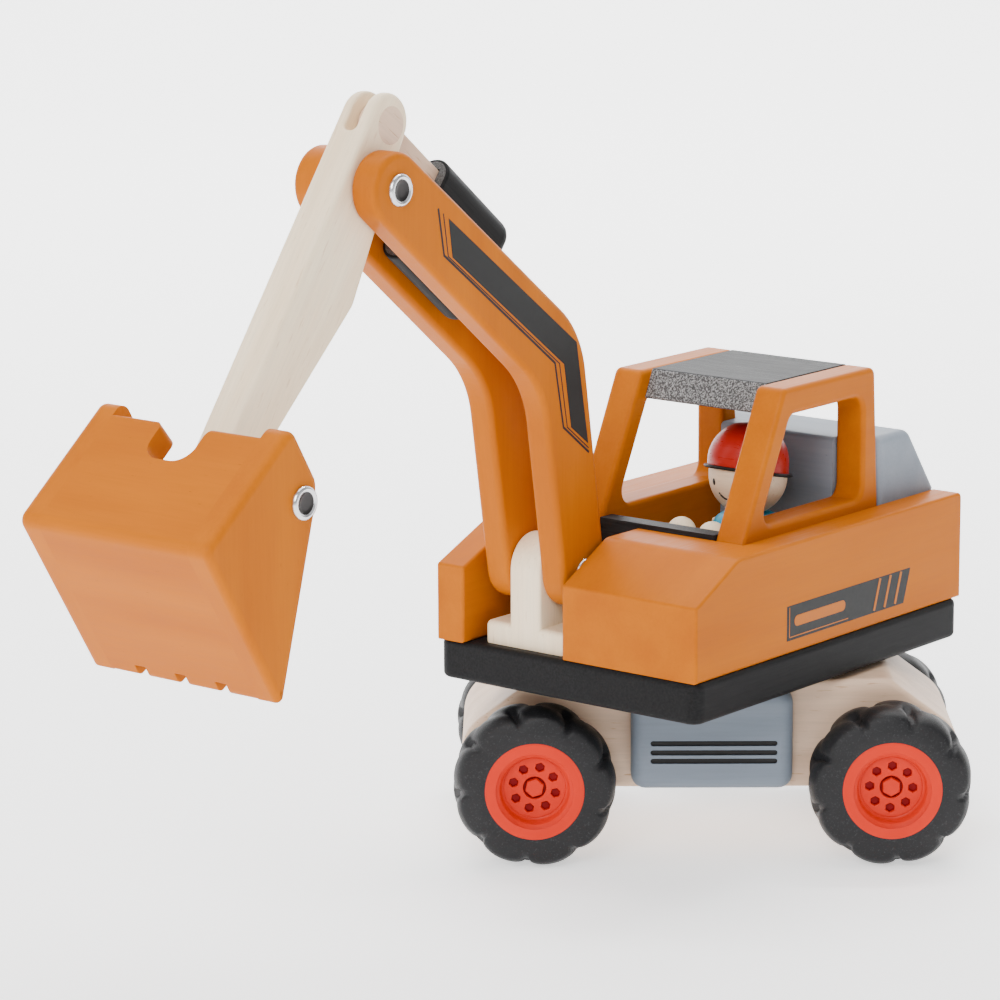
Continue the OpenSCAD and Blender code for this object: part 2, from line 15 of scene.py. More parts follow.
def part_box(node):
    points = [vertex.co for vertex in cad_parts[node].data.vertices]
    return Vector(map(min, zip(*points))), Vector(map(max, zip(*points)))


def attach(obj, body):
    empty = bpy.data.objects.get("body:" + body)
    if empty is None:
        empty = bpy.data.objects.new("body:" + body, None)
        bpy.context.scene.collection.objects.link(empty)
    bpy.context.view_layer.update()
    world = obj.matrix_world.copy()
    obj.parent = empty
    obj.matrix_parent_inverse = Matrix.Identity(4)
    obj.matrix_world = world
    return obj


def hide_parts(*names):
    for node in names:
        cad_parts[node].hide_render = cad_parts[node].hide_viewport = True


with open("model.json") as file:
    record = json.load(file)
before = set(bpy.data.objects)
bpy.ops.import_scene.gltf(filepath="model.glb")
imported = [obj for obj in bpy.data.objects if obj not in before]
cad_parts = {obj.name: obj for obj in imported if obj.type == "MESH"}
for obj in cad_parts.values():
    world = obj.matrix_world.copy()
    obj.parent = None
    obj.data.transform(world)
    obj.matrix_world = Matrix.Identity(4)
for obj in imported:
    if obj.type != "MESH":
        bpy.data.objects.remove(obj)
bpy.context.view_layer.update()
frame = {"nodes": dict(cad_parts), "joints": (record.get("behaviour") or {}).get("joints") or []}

MM = 0.001
MARGIN = 0.3            # flat strip kept beside a rounded edge, so that shading stays even
ROUND_STEPS = 5         # segments across a rounded edge
SMALL_HOLE = 140.0      # mm2: pin bores below this are covered by caps and left out
SHARP = math.radians(50)        # edges that turn further than this are shaded sharp
MAX_TURN = math.radians(120)    # margins stop growing at corners sharper than this
WELD = 1e-7             # metres: vertices nearer than this are one

JOINT = {j["name"]: j for j in frame["joints"]}
ARM_AXIS = Vector(JOINT["boom_lift"]["axis"])
TURN = Matrix.Rotation(math.atan2(-ARM_AXIS.x, ARM_AXIS.y), 4, "Z")
WORLD = Matrix.Identity(4)


def pivot(joint):
    """A joint's place in the upper structure's frame, in mm."""
    return TURN.inverted() @ Vector(JOINT[joint]["pos_m"]) / MM


FOOT = pivot("boom_lift")
HEAD = pivot("stick_swing")
BUCKET_PIN = pivot("bucket_curl")
ARM_Y = FOOT.y

# tilts of the arm's straight parts at rest
STICK_TILT = math.radians(-35.8)
BOOM_TILT = math.radians(-38.65)
BUCKET_TOP_TILT = math.radians(39.4)
BUCKET_FRONT_TILT = math.radians(120.9)


def placed(at, tilt):
    """A frame at a point of the upper structure, tilted about its y axis."""
    return TURN @ Matrix.Translation(Vector(at) * MM) @ Matrix.Rotation(tilt, 4, "Y")


# ---------------------------------------------------------------- mesh tools

def welded(me):
    """A bmesh of a mesh with its coincident vertices made one."""
    bm = bmesh.new()
    bm.from_mesh(me)
    bmesh.ops.remove_doubles(bm, verts=bm.verts, dist=WELD)
    return bm


def settle(bm, me):
    """Writes a bmesh back with outward normals, shaded smooth except over sharp edges."""
    bmesh.ops.recalc_face_normals(bm, faces=bm.faces)
    bm.to_mesh(me)
    bm.free()
    me.shade_smooth()
    me.set_sharp_from_angle(angle=SHARP)
    return me


class Shape:
    """Gathers vertices (mm) and faces with a material index each."""

    def __init__(self):
        self.verts = []
        self.faces = []
        self.slots = []

    def add(self, verts, faces, slot=0):
        base = len(self.verts)
        self.verts += [Vector(v) for v in verts]
        self.faces += [[i + base for i in f] for f in faces]
        self.slots += [slot] * len(faces)
        return self

    def join(self, other, slot=None, matrix=None):
        """Adds another shape, moved by a matrix and with all its faces in one slot if given."""
        base = len(self.verts)
        self.verts += [matrix @ v if matrix else v.copy() for v in other.verts]
        self.faces += [[i + base for i in f] for f in other.faces]
        self.slots += [s if slot is None else slot for s in other.slots]
        return self

    def mesh(self, name):
        """A welded mesh in metres with outward normals."""
        me = bpy.data.meshes.new(name)
        me.from_pydata([v * MM for v in self.verts], [], self.faces)
        for poly, s in zip(me.polygons, self.slots):
            poly.material_index = s
        bm = welded(me)
        bmesh.ops.dissolve_degenerate(bm, edges=bm.edges, dist=WELD / 10)
        return settle(bm, me)


def link(name, me, place):
    """An object for a mesh, at a place in the frame."""
    ob = bpy.data.objects.new(name, me)
    bpy.context.scene.collection.objects.link(ob)
    ob.matrix_world = place
    return ob


def piece(name, shape, materials, body, replaces=(), place=TURN):
    """Makes a visual piece that rides on a body and stands for some CAD nodes."""
    me = shape if isinstance(shape, bpy.types.Mesh) else shape.mesh(name)
    me.name = name
    ob = link(name, me, place)
    for m in materials:
        me.materials.append(m)
    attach(ob, body)
    if replaces:
        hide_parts(*replaces)


def area(loop):
    """Signed area of a closed outline, positive when it runs anticlockwise."""
    return 0.5 * sum(a[0] * b[1] - b[0] * a[1] for a, b in zip(loop, loop[1:] + loop[:1]))


def open_edges(loop, d):
    """An outline's edges, and for each point those before and after it that stay open.

    An inset by d shuts the short edges of an arc whose radius is below d."""
    n = len(loop)
    edges = [loop[(i + 1) % n] - loop[i] for i in range(n)]
    turns = [math.atan2(edges[i - 1].cross(e), edges[i - 1].dot(e))
             for i, e in enumerate(edges)]
    shut = [2 * e.length < d * (turns[i] + turns[(i + 1) % n]) for i, e in enumerate(edges)]
    pairs = []
    for i in range(n):
        before, after = (i - 1) % n, i
        while shut[before] and before != i:
            before = (before - 1) % n
        while shut[after] and after != before:
            after = (after + 1) % n
        pairs.append((before, after))
    return edges, pairs


def with_margins(loop, reach):
    """Adds a point near both ends of each long edge, further in beside a sharp corner."""
    n = len(loop)
    pts = [Vector(p) for p in loop]
    edges, pairs = open_edges(pts, reach + MARGIN)
    keep = []
    for before, after in pairs:
        half_turn = min(edges[before].angle(edges[after], 0.0), MAX_TURN) / 2
        keep.append(MARGIN + reach * math.tan(half_turn))
    out = []
    for i in range(n):
        a, b = pts[i], pts[(i + 1) % n]
        d = (b - a).length
        first, last = keep[i], keep[(i + 1) % n]
        out.append(a)
        if d > first + last + 3 * MARGIN:
            out.append(a.lerp(b, first / d))
            out.append(a.lerp(b, 1 - last / d))
    return out


PARALLEL = 1e-3         # sine of the angle below which two edges don't cross usefully
SHORT_MITRE = 0.4       # holds back the mitre of very sharp corners


def inset(loop, d):
    """Moves a loop to its left by d, with mitred corners. Arcs tighter than d close to a point."""
    edges, pairs = open_edges(loop, d)
    n = len(loop)
    out = []
    for i, (before, after) in enumerate(pairs):
        u, v = edges[before].normalized(), edges[after].normalized()
        n1, n2 = Vector((-u.y, u.x)), Vector((-v.y, v.x))
        spread = n1.cross(n2)
        if (before, after) == ((i - 1) % n, i) or abs(spread) < PARALLEL:
            out.append(loop[i] + (n1 + n2) * (d / max(SHORT_MITRE, 1 + n1.dot(n2))))
            continue
        b1, b2 = loop[before].dot(n1) + d, loop[after].dot(n2) + d
        out.append(Vector((b1 * n2.y - b2 * n1.y, n1.x * b2 - n2.x * b1)) / spread)
    return out


def edge_rows(r):
    """(inset, depth) pairs from a cap over its edge of radius r and down to the wall."""
    if r <= 0:
        return [(0.0, 0.0)]
    angles = [math.pi / 2 * k / ROUND_STEPS for k in range(ROUND_STEPS + 1)]
    round_part = [(r * (1 - math.sin(a)), r * (1 - math.cos(a))) for a in angles]
    return [(r + MARGIN, 0.0), *round_part, (0.0, r + MARGIN)]


def rounding(t0, t1, r0, r1):
    """(inset, level) pairs from the cap at t0 round its edge, up the wall and over the other."""
    return ([(d, t0 + depth) for d, depth in edge_rows(r0)]
            + [(d, t1 - depth) for d, depth in reversed(edge_rows(r1))])


def tube(n, rows):
    """Faces between the rows of a grid of vertices that closes on itself every n."""
    return [(k * n + i, k * n + (i + 1) % n, (k + 1) * n + (i + 1) % n, (k + 1) * n + i)
            for k in range(rows - 1) for i in range(n)]


def slab(loops, t0, t1, r0, r1, up=False, slot=0, cap_slots=None, pockets=(), deep=0.0):
    """A board: outlines (outer first) swept from t0 to t1 with its edges rounded.

    The outline lies in x, z and the thickness runs along y, or with up=True the outline lies
    in x, y and the thickness runs upwards. Pockets are sunk into the cap at t1, and their
    floors take material 1."""
    shape = Shape()
    loops = [[Vector(p) for p in lp] for lp in loops]
    loops = [lp if (area(lp) > 0) == (i == 0) else lp[::-1] for i, lp in enumerate(loops)]
    loops = [with_margins(lp, max(r0, r1)) for lp in loops]
    pockets = [[Vector(p) for p in lp] for lp in pockets]
    rows = rounding(t0, t1, r0, r1)

    def point(p, t):
        return (p.x, p.y, t) if up else (p.x, t, p.y)

    for lp in loops:
        n = len(lp)
        rings = [inset(lp, d) for d, t in rows]
        verts = [point(p, rows[k][1]) for k, ring in enumerate(rings) for p in ring]
        shape.add(verts, tube(n, len(rows)), slot)
    for end, k in enumerate((0, -1)):
        d, t = rows[k]
        rings = [inset(lp, d) for lp in loops] + (pockets if end else [])
        flat = [p for ring in rings for p in ring]
        tris = tessellate_polygon([[Vector((p.x, p.y, 0)) for p in ring] for ring in rings])
        shape.add([point(p, t) for p in flat], tris,
                  cap_slots[end] if cap_slots else slot)
    for lp in pockets:
        n = len(lp)
        shape.add([point(p, t) for t in (t1, t1 - deep) for p in lp],
                  [(i, (i + 1) % n, n + (i + 1) % n, n + i) for i in range(n)], slot)
        shape.add([point(p, t1 - deep) for p in lp], [tuple(range(n))], 1)
    return shape


def lathe(profile, n=64):
    """Turns (radius, height) points about z. A radius of 0 closes the end."""
    turns = [2 * math.pi * i / n for i in range(n)]
    verts = [(r * math.cos(a), r * math.sin(a), h) for r, h in profile for a in turns]
    return Shape().add(verts, tube(n, len(profile)))


def arc(cx, cy, r, a0, a1, n=10):
    """Points of an arc in degrees."""
    return [(cx + r * math.cos(math.radians(a0 + (a1 - a0) * i / n)),
             cy + r * math.sin(math.radians(a0 + (a1 - a0) * i / n))) for i in range(n + 1)]


def rectangle(x0, y0, x1, y1):
    """The corners of a rectangle, anticlockwise from its lowest."""
    return [(x0, y0), (x1, y0), (x1, y1), (x0, y1)]


def facing(out, at):
    """A frame at a point with z along y, towards +y if out is 1 and -y if it is -1."""
    return Matrix.Translation(at) @ Matrix.Rotation(math.radians(-90 * out), 4, "X")


def rounded(points, radii, steps=6):
    """A closed outline with each corner rounded to its radius."""
    out = []
    n = len(points)
    for i in range(n):
        a, b, c = Vector(points[i - 1]), Vector(points[i]), Vector(points[(i + 1) % n])
        r = radii[i] if isinstance(radii, (list, tuple)) else radii
        if r <= 0:
            out.append(b)
            continue
        u, v = (b - a).normalized(), (c - b).normalized()
        t = math.atan2(u.x * v.y - u.y * v.x, u.dot(v))
        side = 1 if t > 0 else -1
        start = b - u * r * math.tan(abs(t) / 2)
        centre = start + side * r * Vector((-u.y, u.x))
        a0 = math.atan2(start.y - centre.y, start.x - centre.x)
        for k in range(steps + 1):
            w = a0 + t * k / steps
            out.append(centre + r * Vector((math.cos(w), math.sin(w))))
    return out


SAME_FACE = 0.02        # vertices this near the end face's level belong to it


def outlines(node, to_local=TURN.inverted(), axis=1, high=True):
    """The loops that bound a CAD node's flat end face, outer loop first, small bores left out."""
    me = frame["nodes"][node].data
    co = [to_local @ v.co / MM for v in me.vertices]
    level = (max if high else min)(c[axis] for c in co)
    across = [i for i in range(3) if i != axis]
    flat = [tuple(round(c[i], 3) for i in across) for c in co]
    border = {}
    for poly in me.polygons:
        if any(abs(co[i][axis] - level) > SAME_FACE for i in poly.vertices):
            continue
        ring = [flat[i] for i in poly.vertices]
        for a, b in zip(ring, ring[1:] + ring[:1]):
            if (b, a) in border:
                del border[(b, a)]      # between two faces, so not on the border
            elif a != b:
                border[(a, b)] = True
    after = {a: b for a, b in border}
    loops = []
    while after:
        a = next(iter(after))
        loop = []
        while a in after:
            loop.append(a)
            a = after.pop(a)
        loops.append(loop)
    loops = [lp for lp in loops if abs(area(lp)) > SMALL_HOLE]
    loops.sort(key=lambda lp: -abs(area(lp)))
    return loops


def extent(node, axis, to_local=TURN.inverted()):
    """Lowest and highest coordinate of a CAD node along one axis of a local frame, in mm."""
    values = [(to_local @ v.co)[axis] / MM for v in frame["nodes"][node].data.vertices]
    return min(values), max(values)


def board(node, r0, r1, place=TURN, axis=1):
    """The CAD node's outline swept over its own thickness with rounded edges."""
    inv = place.inverted()
    t0, t1 = extent(node, axis, inv)
    return slab(outlines(node, inv, axis), t0, t1, r0, r1, up=(axis == 2))


def cut(shape, cutters, bevel=0.0, near=None, flat_from=math.inf):
    """Takes the cutters out of a shape, then rounds the new edges that near() picks.

    Faces of flat_from mm2 and more are shaded flat. The result is a mesh."""
    ob = link("cut_body", shape.mesh("cut_body"), WORLD)
    tools = []
    for c in cutters:
        tool = link("cut_tool", c.mesh("cut_tool"), WORLD)
        mod = ob.modifiers.new("cut", "BOOLEAN")
        mod.operation = "DIFFERENCE"
        mod.solver = "EXACT"
        mod.object = tool
        tools.append(tool)
    bpy.context.view_layer.update()
    graph = bpy.context.evaluated_depsgraph_get()
    me = bpy.data.meshes.new_from_object(ob.evaluated_get(graph))
    for o in tools + [ob]:
        old = o.data
        bpy.data.objects.remove(o)
        bpy.data.meshes.remove(old)
    bm = welded(me)
    if bevel:
        edges = [e for e in bm.edges if len(e.link_faces) == 2
                 and e.calc_face_angle(0) > SHARP
                 and all(near(v.co / MM) for v in e.verts)]
        bmesh.ops.bevel(bm, geom=edges, offset=bevel * MM, segments=3, profile=0.5,
                        affect="EDGES", clamp_overlap=True)
    settle(bm, me)
    for poly in me.polygons:
        if poly.area > flat_from * MM * MM:
            poly.use_smooth = False
    return me


# ---------------------------------------------------------------- materials

class Look:
    """A small helper for building a node material."""

    def __init__(self, name):
        self.mat = bpy.data.materials.new(name)
        self.mat.use_nodes = True
        self.nodes = self.mat.node_tree.nodes
        self.links = self.mat.node_tree.links
        self.bsdf = self.nodes["Principled BSDF"]
        self.coord = self.nodes.new("ShaderNodeTexCoord")

    def wire(self, value, socket):
        """Links a node's output to a socket, or sets the socket to a plain value."""
        if isinstance(value, bpy.types.NodeSocket):
            self.links.new(value, socket)
        else:
            socket.default_value = (*value, 1) if isinstance(value, tuple) else value

    def mapping(self, scale):
        """Object coordinates, scaled alike or by (x, y, z)."""
        m = self.nodes.new("ShaderNodeMapping")
        m.inputs["Scale"].default_value = scale if isinstance(scale, tuple) else (scale,) * 3
        self.wire(self.coord.outputs["Object"], m.inputs["Vector"])
        return m.outputs["Vector"]

    def noise(self, vector, scale, detail=4.0, rough=0.5, distortion=0.0):
        n = self.nodes.new("ShaderNodeTexNoise")
        n.inputs["Scale"].default_value = scale
        n.inputs["Detail"].default_value = detail
        n.inputs["Roughness"].default_value = rough
        n.inputs["Distortion"].default_value = distortion
        self.wire(vector, n.inputs["Vector"])
        return n.outputs["Fac"]

    def ramp(self, fac, stops):
        """stops: (position, colour or grey level) pairs."""
        r = self.nodes.new("ShaderNodeValToRGB")
        el = r.color_ramp.elements
        while len(el) < len(stops):
            el.new(0.5)
        for e, (p, c) in zip(el, stops):
            e.position = p
            e.color = (c, c, c, 1) if isinstance(c, float) else (*c, 1)
        self.wire(fac, r.inputs["Fac"])
        return r.outputs["Color"]

    def mix_rgb(self, fac, a, b, blend="MIX"):
        """Blends two colours, each a socket or an (r, g, b) tuple."""
        m = self.nodes.new("ShaderNodeMix")
        m.data_type = "RGBA"
        m.blend_type = blend
        for value, socket in zip((fac, a, b), (s for s in m.inputs if s.enabled)):
            self.wire(value, socket)
        return next(s for s in m.outputs if s.enabled)

    def math(self, op, a, b):
        m = self.nodes.new("ShaderNodeMath")
        m.operation = op
        self.wire(a, m.inputs[0])
        self.wire(b, m.inputs[1])
        return m.outputs["Value"]

    def bump(self, height, strength, distance):
        b = self.nodes.new("ShaderNodeBump")
        b.inputs["Strength"].default_value = strength
        b.inputs["Distance"].default_value = distance
        self.wire(height, b.inputs["Height"])
        return b.outputs["Normal"]

    def finish(self, color, rough, normal=None, **values):
        """Wires the surface, sets its uniform values and returns the material."""
        self.wire(color, self.bsdf.inputs["Base Color"])
        self.wire(rough, self.bsdf.inputs["Roughness"])
        if normal:
            self.wire(normal, self.bsdf.inputs["Normal"])
        for key, v in values.items():
            self.bsdf.inputs[key.replace("_", " ")].default_value = v
        return self.mat


# noise scale along the grain and across it
GRAIN = (40, 900)
FLECK = (260, 2600)
BROAD = (8, 60)


def wood(look, along, scales):
    """Object coordinates stretched along one axis, as wood is along its grain."""
    return look.mapping(tuple(scales[0] if axis == along else scales[1] for axis in "xyz"))


def painted(name, deep, light, along="x", rough=0.40, grain=0.25, pores=0.5, shine=0.07):
    """Satin paint on beech: a slight tone drift, faint raised grain and a few open pores."""
    k = Look(name)
    broad = k.noise(wood(k, along, BROAD), 1.0, 3.0)
    fine = k.noise(wood(k, along, GRAIN), 1.0, 5.0, 0.6)
    fleck = k.noise(wood(k, along, FLECK), 1.0, 2.0, 0.4)
    tone = k.mix_rgb(k.ramp(broad, [(0.3, 0.0), (0.7, 1.0)]), deep, light)
    streak = k.ramp(fine, [(0.35, 0.90), (0.62, 1.0)])
    tone = k.mix_rgb(0.55, tone, k.mix_rgb(1.0, tone, streak, "MULTIPLY"))
    dots = k.ramp(fleck, [(0.20, 0.0), (0.27, 1.0)])
    dark = tuple(c * 0.45 for c in deep)
    color = k.mix_rgb(k.math("MULTIPLY", k.math("SUBTRACT", 1.0, dots), pores), tone, dark)
    height = k.math("ADD", k.math("MULTIPLY", fine, 0.6), k.math("MULTIPLY", dots, 0.5))
    r = k.ramp(fine, [(0.3, rough - 0.05), (0.7, rough + 0.08)])
    return k.finish(color, r, k.bump(height, grain, 0.00012), Specular_IOR_Level=shine)


def beech(name, pale, dark, along="x", fleck_tone=0.55):
    """Clear-lacquered beech: soft growth bands, fine grain and short dark ray flecks."""
    k = Look(name)
    bands = k.noise(wood(k, along, BROAD), 1.6, 4.0, 0.55, 0.4)
    fine = k.noise(wood(k, along, GRAIN), 1.0, 6.0, 0.65)
    fleck = k.noise(wood(k, along, FLECK), 0.45, 2.0, 0.5)
    tone = k.mix_rgb(k.ramp(bands, [(0.30, 0.0), (0.72, 1.0)]), pale, dark)
    tone = k.mix_rgb(0.7, tone, k.mix_rgb(1.0, tone, k.ramp(fine, [(0.3, 0.86), (0.6, 1.0)]),
                                         "MULTIPLY"))
    dots = k.ramp(fleck, [(0.27, 0.0), (0.36, 1.0)])
    rays = tuple(c * f for c, f in zip(dark, (0.72, 0.58, 0.45)))
    color = k.mix_rgb(k.math("MULTIPLY", k.math("SUBTRACT", 1.0, dots), fleck_tone), tone, rays)
    return k.finish(color, k.ramp(fine, [(0.3, 0.42), (0.7, 0.55)]),
                    k.bump(fine, 0.18, 0.00008), Specular_IOR_Level=0.4)


def stained(name, base, along="x", grain=0.6, light=0.010, shine=0.08):
    """Black stain that leaves the grain standing and catching light."""
    k = Look(name)
    fine = k.noise(wood(k, along, GRAIN), 1.2, 6.0, 0.7)
    color = k.ramp(fine, [(0.35, base), (0.75, tuple(c + light for c in base))])
    return k.finish(color, k.ramp(fine, [(0.3, 0.42), (0.7, 0.62)]),
                    k.bump(fine, grain, 0.00015), Specular_IOR_Level=shine)


def speckled(name, speck):
    """End grain under thin black stain: pale specks on dark."""
    k = Look(name)
    grit = k.noise(k.mapping(1500), 1.0, 2.0, 0.7)
    color = k.ramp(grit, [(0.46, (0.03, 0.03, 0.03)), (0.60, (speck, speck, speck))])
    return k.finish(color, k.ramp(grit, [(0.3, 0.5), (0.7, 0.7)]), k.bump(grit, 0.4, 0.0001))


def rubber(name):
    """Dull black rubber with a fine pale bloom."""
    k = Look(name)
    fine = k.noise(k.mapping(1400), 1.0, 4.0, 0.7)
    wide = k.noise(k.mapping(90), 1.0, 3.0)
    tone = k.mix_rgb(k.ramp(wide, [(0.35, 0.0), (0.7, 1.0)]), (0.005, 0.005, 0.006),
                     (0.010, 0.010, 0.011))
    color = k.mix_rgb(k.ramp(fine, [(0.55, 0.0), (0.70, 1.0)]), tone, (0.026, 0.026, 0.028))
    return k.finish(color, k.ramp(wide, [(0.3, 0.42), (0.7, 0.60)]),
                    k.bump(fine, 0.7, 0.00015), Specular_IOR_Level=0.28)


def plastic(name, color, darker, rough=0.38):
    """Moulded plastic, barely translucent, with a slight tone drift."""
    k = Look(name)
    wide = k.noise(k.mapping(120), 1.0, 3.0)
    fine = k.noise(k.mapping(900), 1.0, 3.0)
    tone = k.mix_rgb(wide, color, darker)
    return k.finish(tone, k.ramp(wide, [(0.3, rough - 0.05), (0.7, rough + 0.07)]),
                    k.bump(fine, 0.08, 0.00005), Specular_IOR_Level=0.12,
                    Subsurface_Weight=0.05,
                    Subsurface_Radius=(0.003, 0.0006, 0.0003))


def metal(name, tint, rough=0.16):
    """Bright steel with fine turning marks."""
    k = Look(name)
    scratch = k.noise(k.mapping((700, 700, 60)), 1.0, 5.0, 0.7)
    tone = k.ramp(scratch, [(0.3, tuple(c * 0.9 for c in tint)), (0.7, tint)])
    return k.finish(tone, k.ramp(scratch, [(0.3, rough), (0.7, rough + 0.12)]),
                    k.bump(scratch, 0.06, 0.00003), Metallic=1.0)


def ink(name, color):
    """Screen-printed ink, slightly uneven in gloss."""
    k = Look(name)
    n = k.noise(k.mapping(500), 1.0, 4.0)
    tone = k.ramp(n, [(0.3, tuple(c * 0.88 for c in color)), (0.7, color)])
    return k.finish(tone, k.ramp(n, [(0.3, 0.34), (0.7, 0.48)]),
                    k.bump(n, 0.1, 0.00004), Specular_IOR_Level=0.15)


ORANGE_DEEP = (0.40, 0.098, 0.0)
ORANGE_LIGHT = (0.46, 0.122, 0.0)
orange_x = painted("orange_paint_x", ORANGE_DEEP, ORANGE_LIGHT, "x")
orange_y = painted("orange_paint_y", ORANGE_DEEP, ORANGE_LIGHT, "y", pores=0.75)
orange_z = painted("orange_paint_z", ORANGE_DEEP, ORANGE_LIGHT, "z")
slate_x = painted("slate_paint_x", (0.165, 0.195, 0.235), (0.21, 0.245, 0.29), "x", grain=0.3)
slate_y = painted("slate_paint_y", (0.19, 0.22, 0.26), (0.24, 0.27, 0.31), "y", grain=0.3)
red_paint = painted("red_paint", (0.36, 0.010, 0.006), (0.42, 0.014, 0.008), "y", 0.3,
                    shine=0.2)
cyan_paint = painted("cyan_paint", (0.02, 0.36, 0.58), (0.03, 0.42, 0.66), "z", 0.34)
# this beech is darker and redder than the others: the redder tone is this wood's own, the darkness
# is partly painted shade for the chassis under the board
beech_x_tone_and_shade = beech("beech_x_tone_and_shade", (0.74, 0.53, 0.38), (0.60, 0.40, 0.27), "x", 0.8)
beech_z = beech("beech_z", (0.93, 0.78, 0.56), (0.84, 0.65, 0.43), "z", 0.45)
beech_y = beech("beech_y", (0.88, 0.71, 0.50), (0.80, 0.60, 0.41), "y")
black_x = stained("black_stain_x", (0.006, 0.006, 0.0065), "x")
black_y = stained("black_stain_y", (0.012, 0.012, 0.013), "y", 0.8, 0.025, 0.1)
end_grain = speckled("speckled_end_grain", 0.27)
dark_end_grain = speckled("dark_end_grain", 0.09)
tyre_rubber = rubber("tyre_rubber")
rim_plastic = plastic("rim_plastic", (0.60, 0.024, 0.006), (0.53, 0.018, 0.005))
# darker red for the floors of the rim's hex pockets: painted shade in the recesses, not a second
# colour of plastic
rim_pocket_painted_shade = plastic("rim_pocket_painted_shade", (0.20, 0.0, 0.003), (0.16, 0.0, 0.002), 0.5)
steel = metal("push_cap_steel", (0.72, 0.72, 0.74))
dark_steel = metal("cap_centre_steel", (0.045, 0.042, 0.042), 0.3)
black_ink = ink("black_ink", (0.012, 0.012, 0.012))
orange_ink = ink("orange_ink", (0.46, 0.120, 0.0))
black_plastic = plastic("black_plastic", (0.012, 0.012, 0.012), (0.02, 0.02, 0.02), 0.45)

# CAD nodes that no visual piece replaces
for node in ("front_axle", "rear_axle", "slew_pin", "foot_pin", "head_pin", "bucket_pin_rod",
             "fork_axle", "slew_washer"):
    looks = frame["nodes"][node].data.materials
    looks.clear()
    looks.append(black_plastic if node == "slew_washer" else steel)

# ---------------------------------------------------------------- chassis

EDGE = 2.0              # usual rounding of a sanded board edge, mm

piece("chassis", board("chassis_block", EDGE, EDGE, WORLD), [beech_x_tone_and_shade], "chassis",
      ["chassis_block"], WORLD)

GROOVE_Z = (36.7, 39.9, 43.4)
GROOVE_X = (-21.5, 23.2)        # centres of a groove's round ends
GROOVE_R = 1.0
GROOVE_DEEP = 0.8
TANK_EDGE = 4.5
TANK_CORNER = 5.3


def capsule(x0, x1, z, r):
    """A round-ended slot outline."""
    return arc(x1, z, r, -90, 90, 8) + arc(x0, z, r, 90, 270, 8)


def tank(node, name, outward):
    """A side tank: a rounded block with three black grooves, drawn towards +y or mirrored."""
    lo, hi = (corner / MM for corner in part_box(node))
    y_in, y_out = sorted((lo.y, hi.y), key=abs)
    outline = rounded(rectangle(lo.x, lo.z, hi.x, hi.z), TANK_CORNER)
    grooves = [capsule(*GROOVE_X, z, GROOVE_R) for z in GROOVE_Z]
    me = slab([outline], 0, abs(y_out - y_in), 0.0, TANK_EDGE, pockets=grooves,
              deep=GROOVE_DEEP).mesh(name)
    place = Matrix.Translation((0, y_in * MM, 0))
    if outward < 0:
        me.transform(Matrix.Scale(-1, 4, (0, 1, 0)))
        me.flip_normals()
    piece(name, me, [slate_x, black_ink], "chassis", [node], place)


tank("tank_left", "left_tank", -1)
tank("tank_right", "right_tank", 1)

# ---------------------------------------------------------------- wheels

TYRE_R = 30.0
TREAD_R = 27.4
RIM_R = 18.4
WHEEL_Y0, WHEEL_Y1 = 33.0, 57.3
LUGS = 9                # on each side of a tyre
LUG_HALF = 0.30         # half a lug's width, radians
LUG_SWEEP = 0.12        # how far it leans round the tyre from middle to shoulder
LUG_EDGE = 0.25         # height of a lug's rim, as a share of its middle
DISC_R = 11.4
SECTION_END = math.radians(128)     # the tyre's section runs this far either side of its crown
SECTION_STEPS = 44
SHOULDER = (math.radians(76), math.radians(58))     # lugs rise from the first to the second
BULGE_SIDE, BULGE_TREAD = 0.72, 0.62                # below 1 squares the oval section off


def smooth(e0, e1, x):
    """0 before e0, 1 after e1 and an even curve between them."""
    t = min(1.0, max(0.0, (x - e0) / (e1 - e0)))
    return t * t * (3 - 2 * t)


def tyre_profile():
    """(radius, place from -1 to 1 across the tyre, angle) round its squared-off section."""
    rows = []
    bead_r = RIM_R + 1.0
    for k in range(SECTION_STEPS + 1):
        a = SECTION_END * (2 * k / SECTION_STEPS - 1)
        s, c = math.sin(a), math.cos(a)
        r = bead_r + (TREAD_R - bead_r) * math.copysign(abs(c) ** BULGE_TREAD, c)
        rows.append((max(r, RIM_R - 1.6), math.copysign(abs(s) ** BULGE_SIDE, s), a))
    return rows


def lug_height(theta, u):
    """How far a lug stands out: domed petals from the middle to each shoulder, in turn."""
    pitch = 2 * math.pi / LUGS
    best = 0.0
    for side in (-1, 1):
        shift = 0.0 if side > 0 else pitch / 2
        reach = u * side
        t = (theta + shift + LUG_SWEEP * side * reach) % pitch
        t = t - pitch if t > pitch / 2 else t
        dome = math.sqrt(max(0.0, 1 - (t / LUG_HALF) ** 2))
        ends = smooth(-0.18, 0.06, reach) * (1 - smooth(0.96, 1.06, reach))
        best = max(best, (LUG_EDGE + (1 - LUG_EDGE) * dome) * smooth(0.0, 0.22, dome) * ends)
    return best


def tyre_shape(n=288):
    """A tyre about the z axis, with its chassis side down."""
    mid = (WHEEL_Y0 + WHEEL_Y1) / 2
    half = (WHEEL_Y1 - WHEEL_Y0) / 2 - 0.4
    profile = tyre_profile()
    verts = []
    for r, u, a in profile + profile[:1]:
        lug = (TYRE_R - TREAD_R) * smooth(*SHOULDER, abs(a))
        for i in range(n):
            th = 2 * math.pi * i / n
            out = r + lug * lug_height(th, u)
            verts.append((out * math.cos(th), out * math.sin(th), mid + half * u))
    return Shape().add(verts, tube(n, len(profile) + 1))


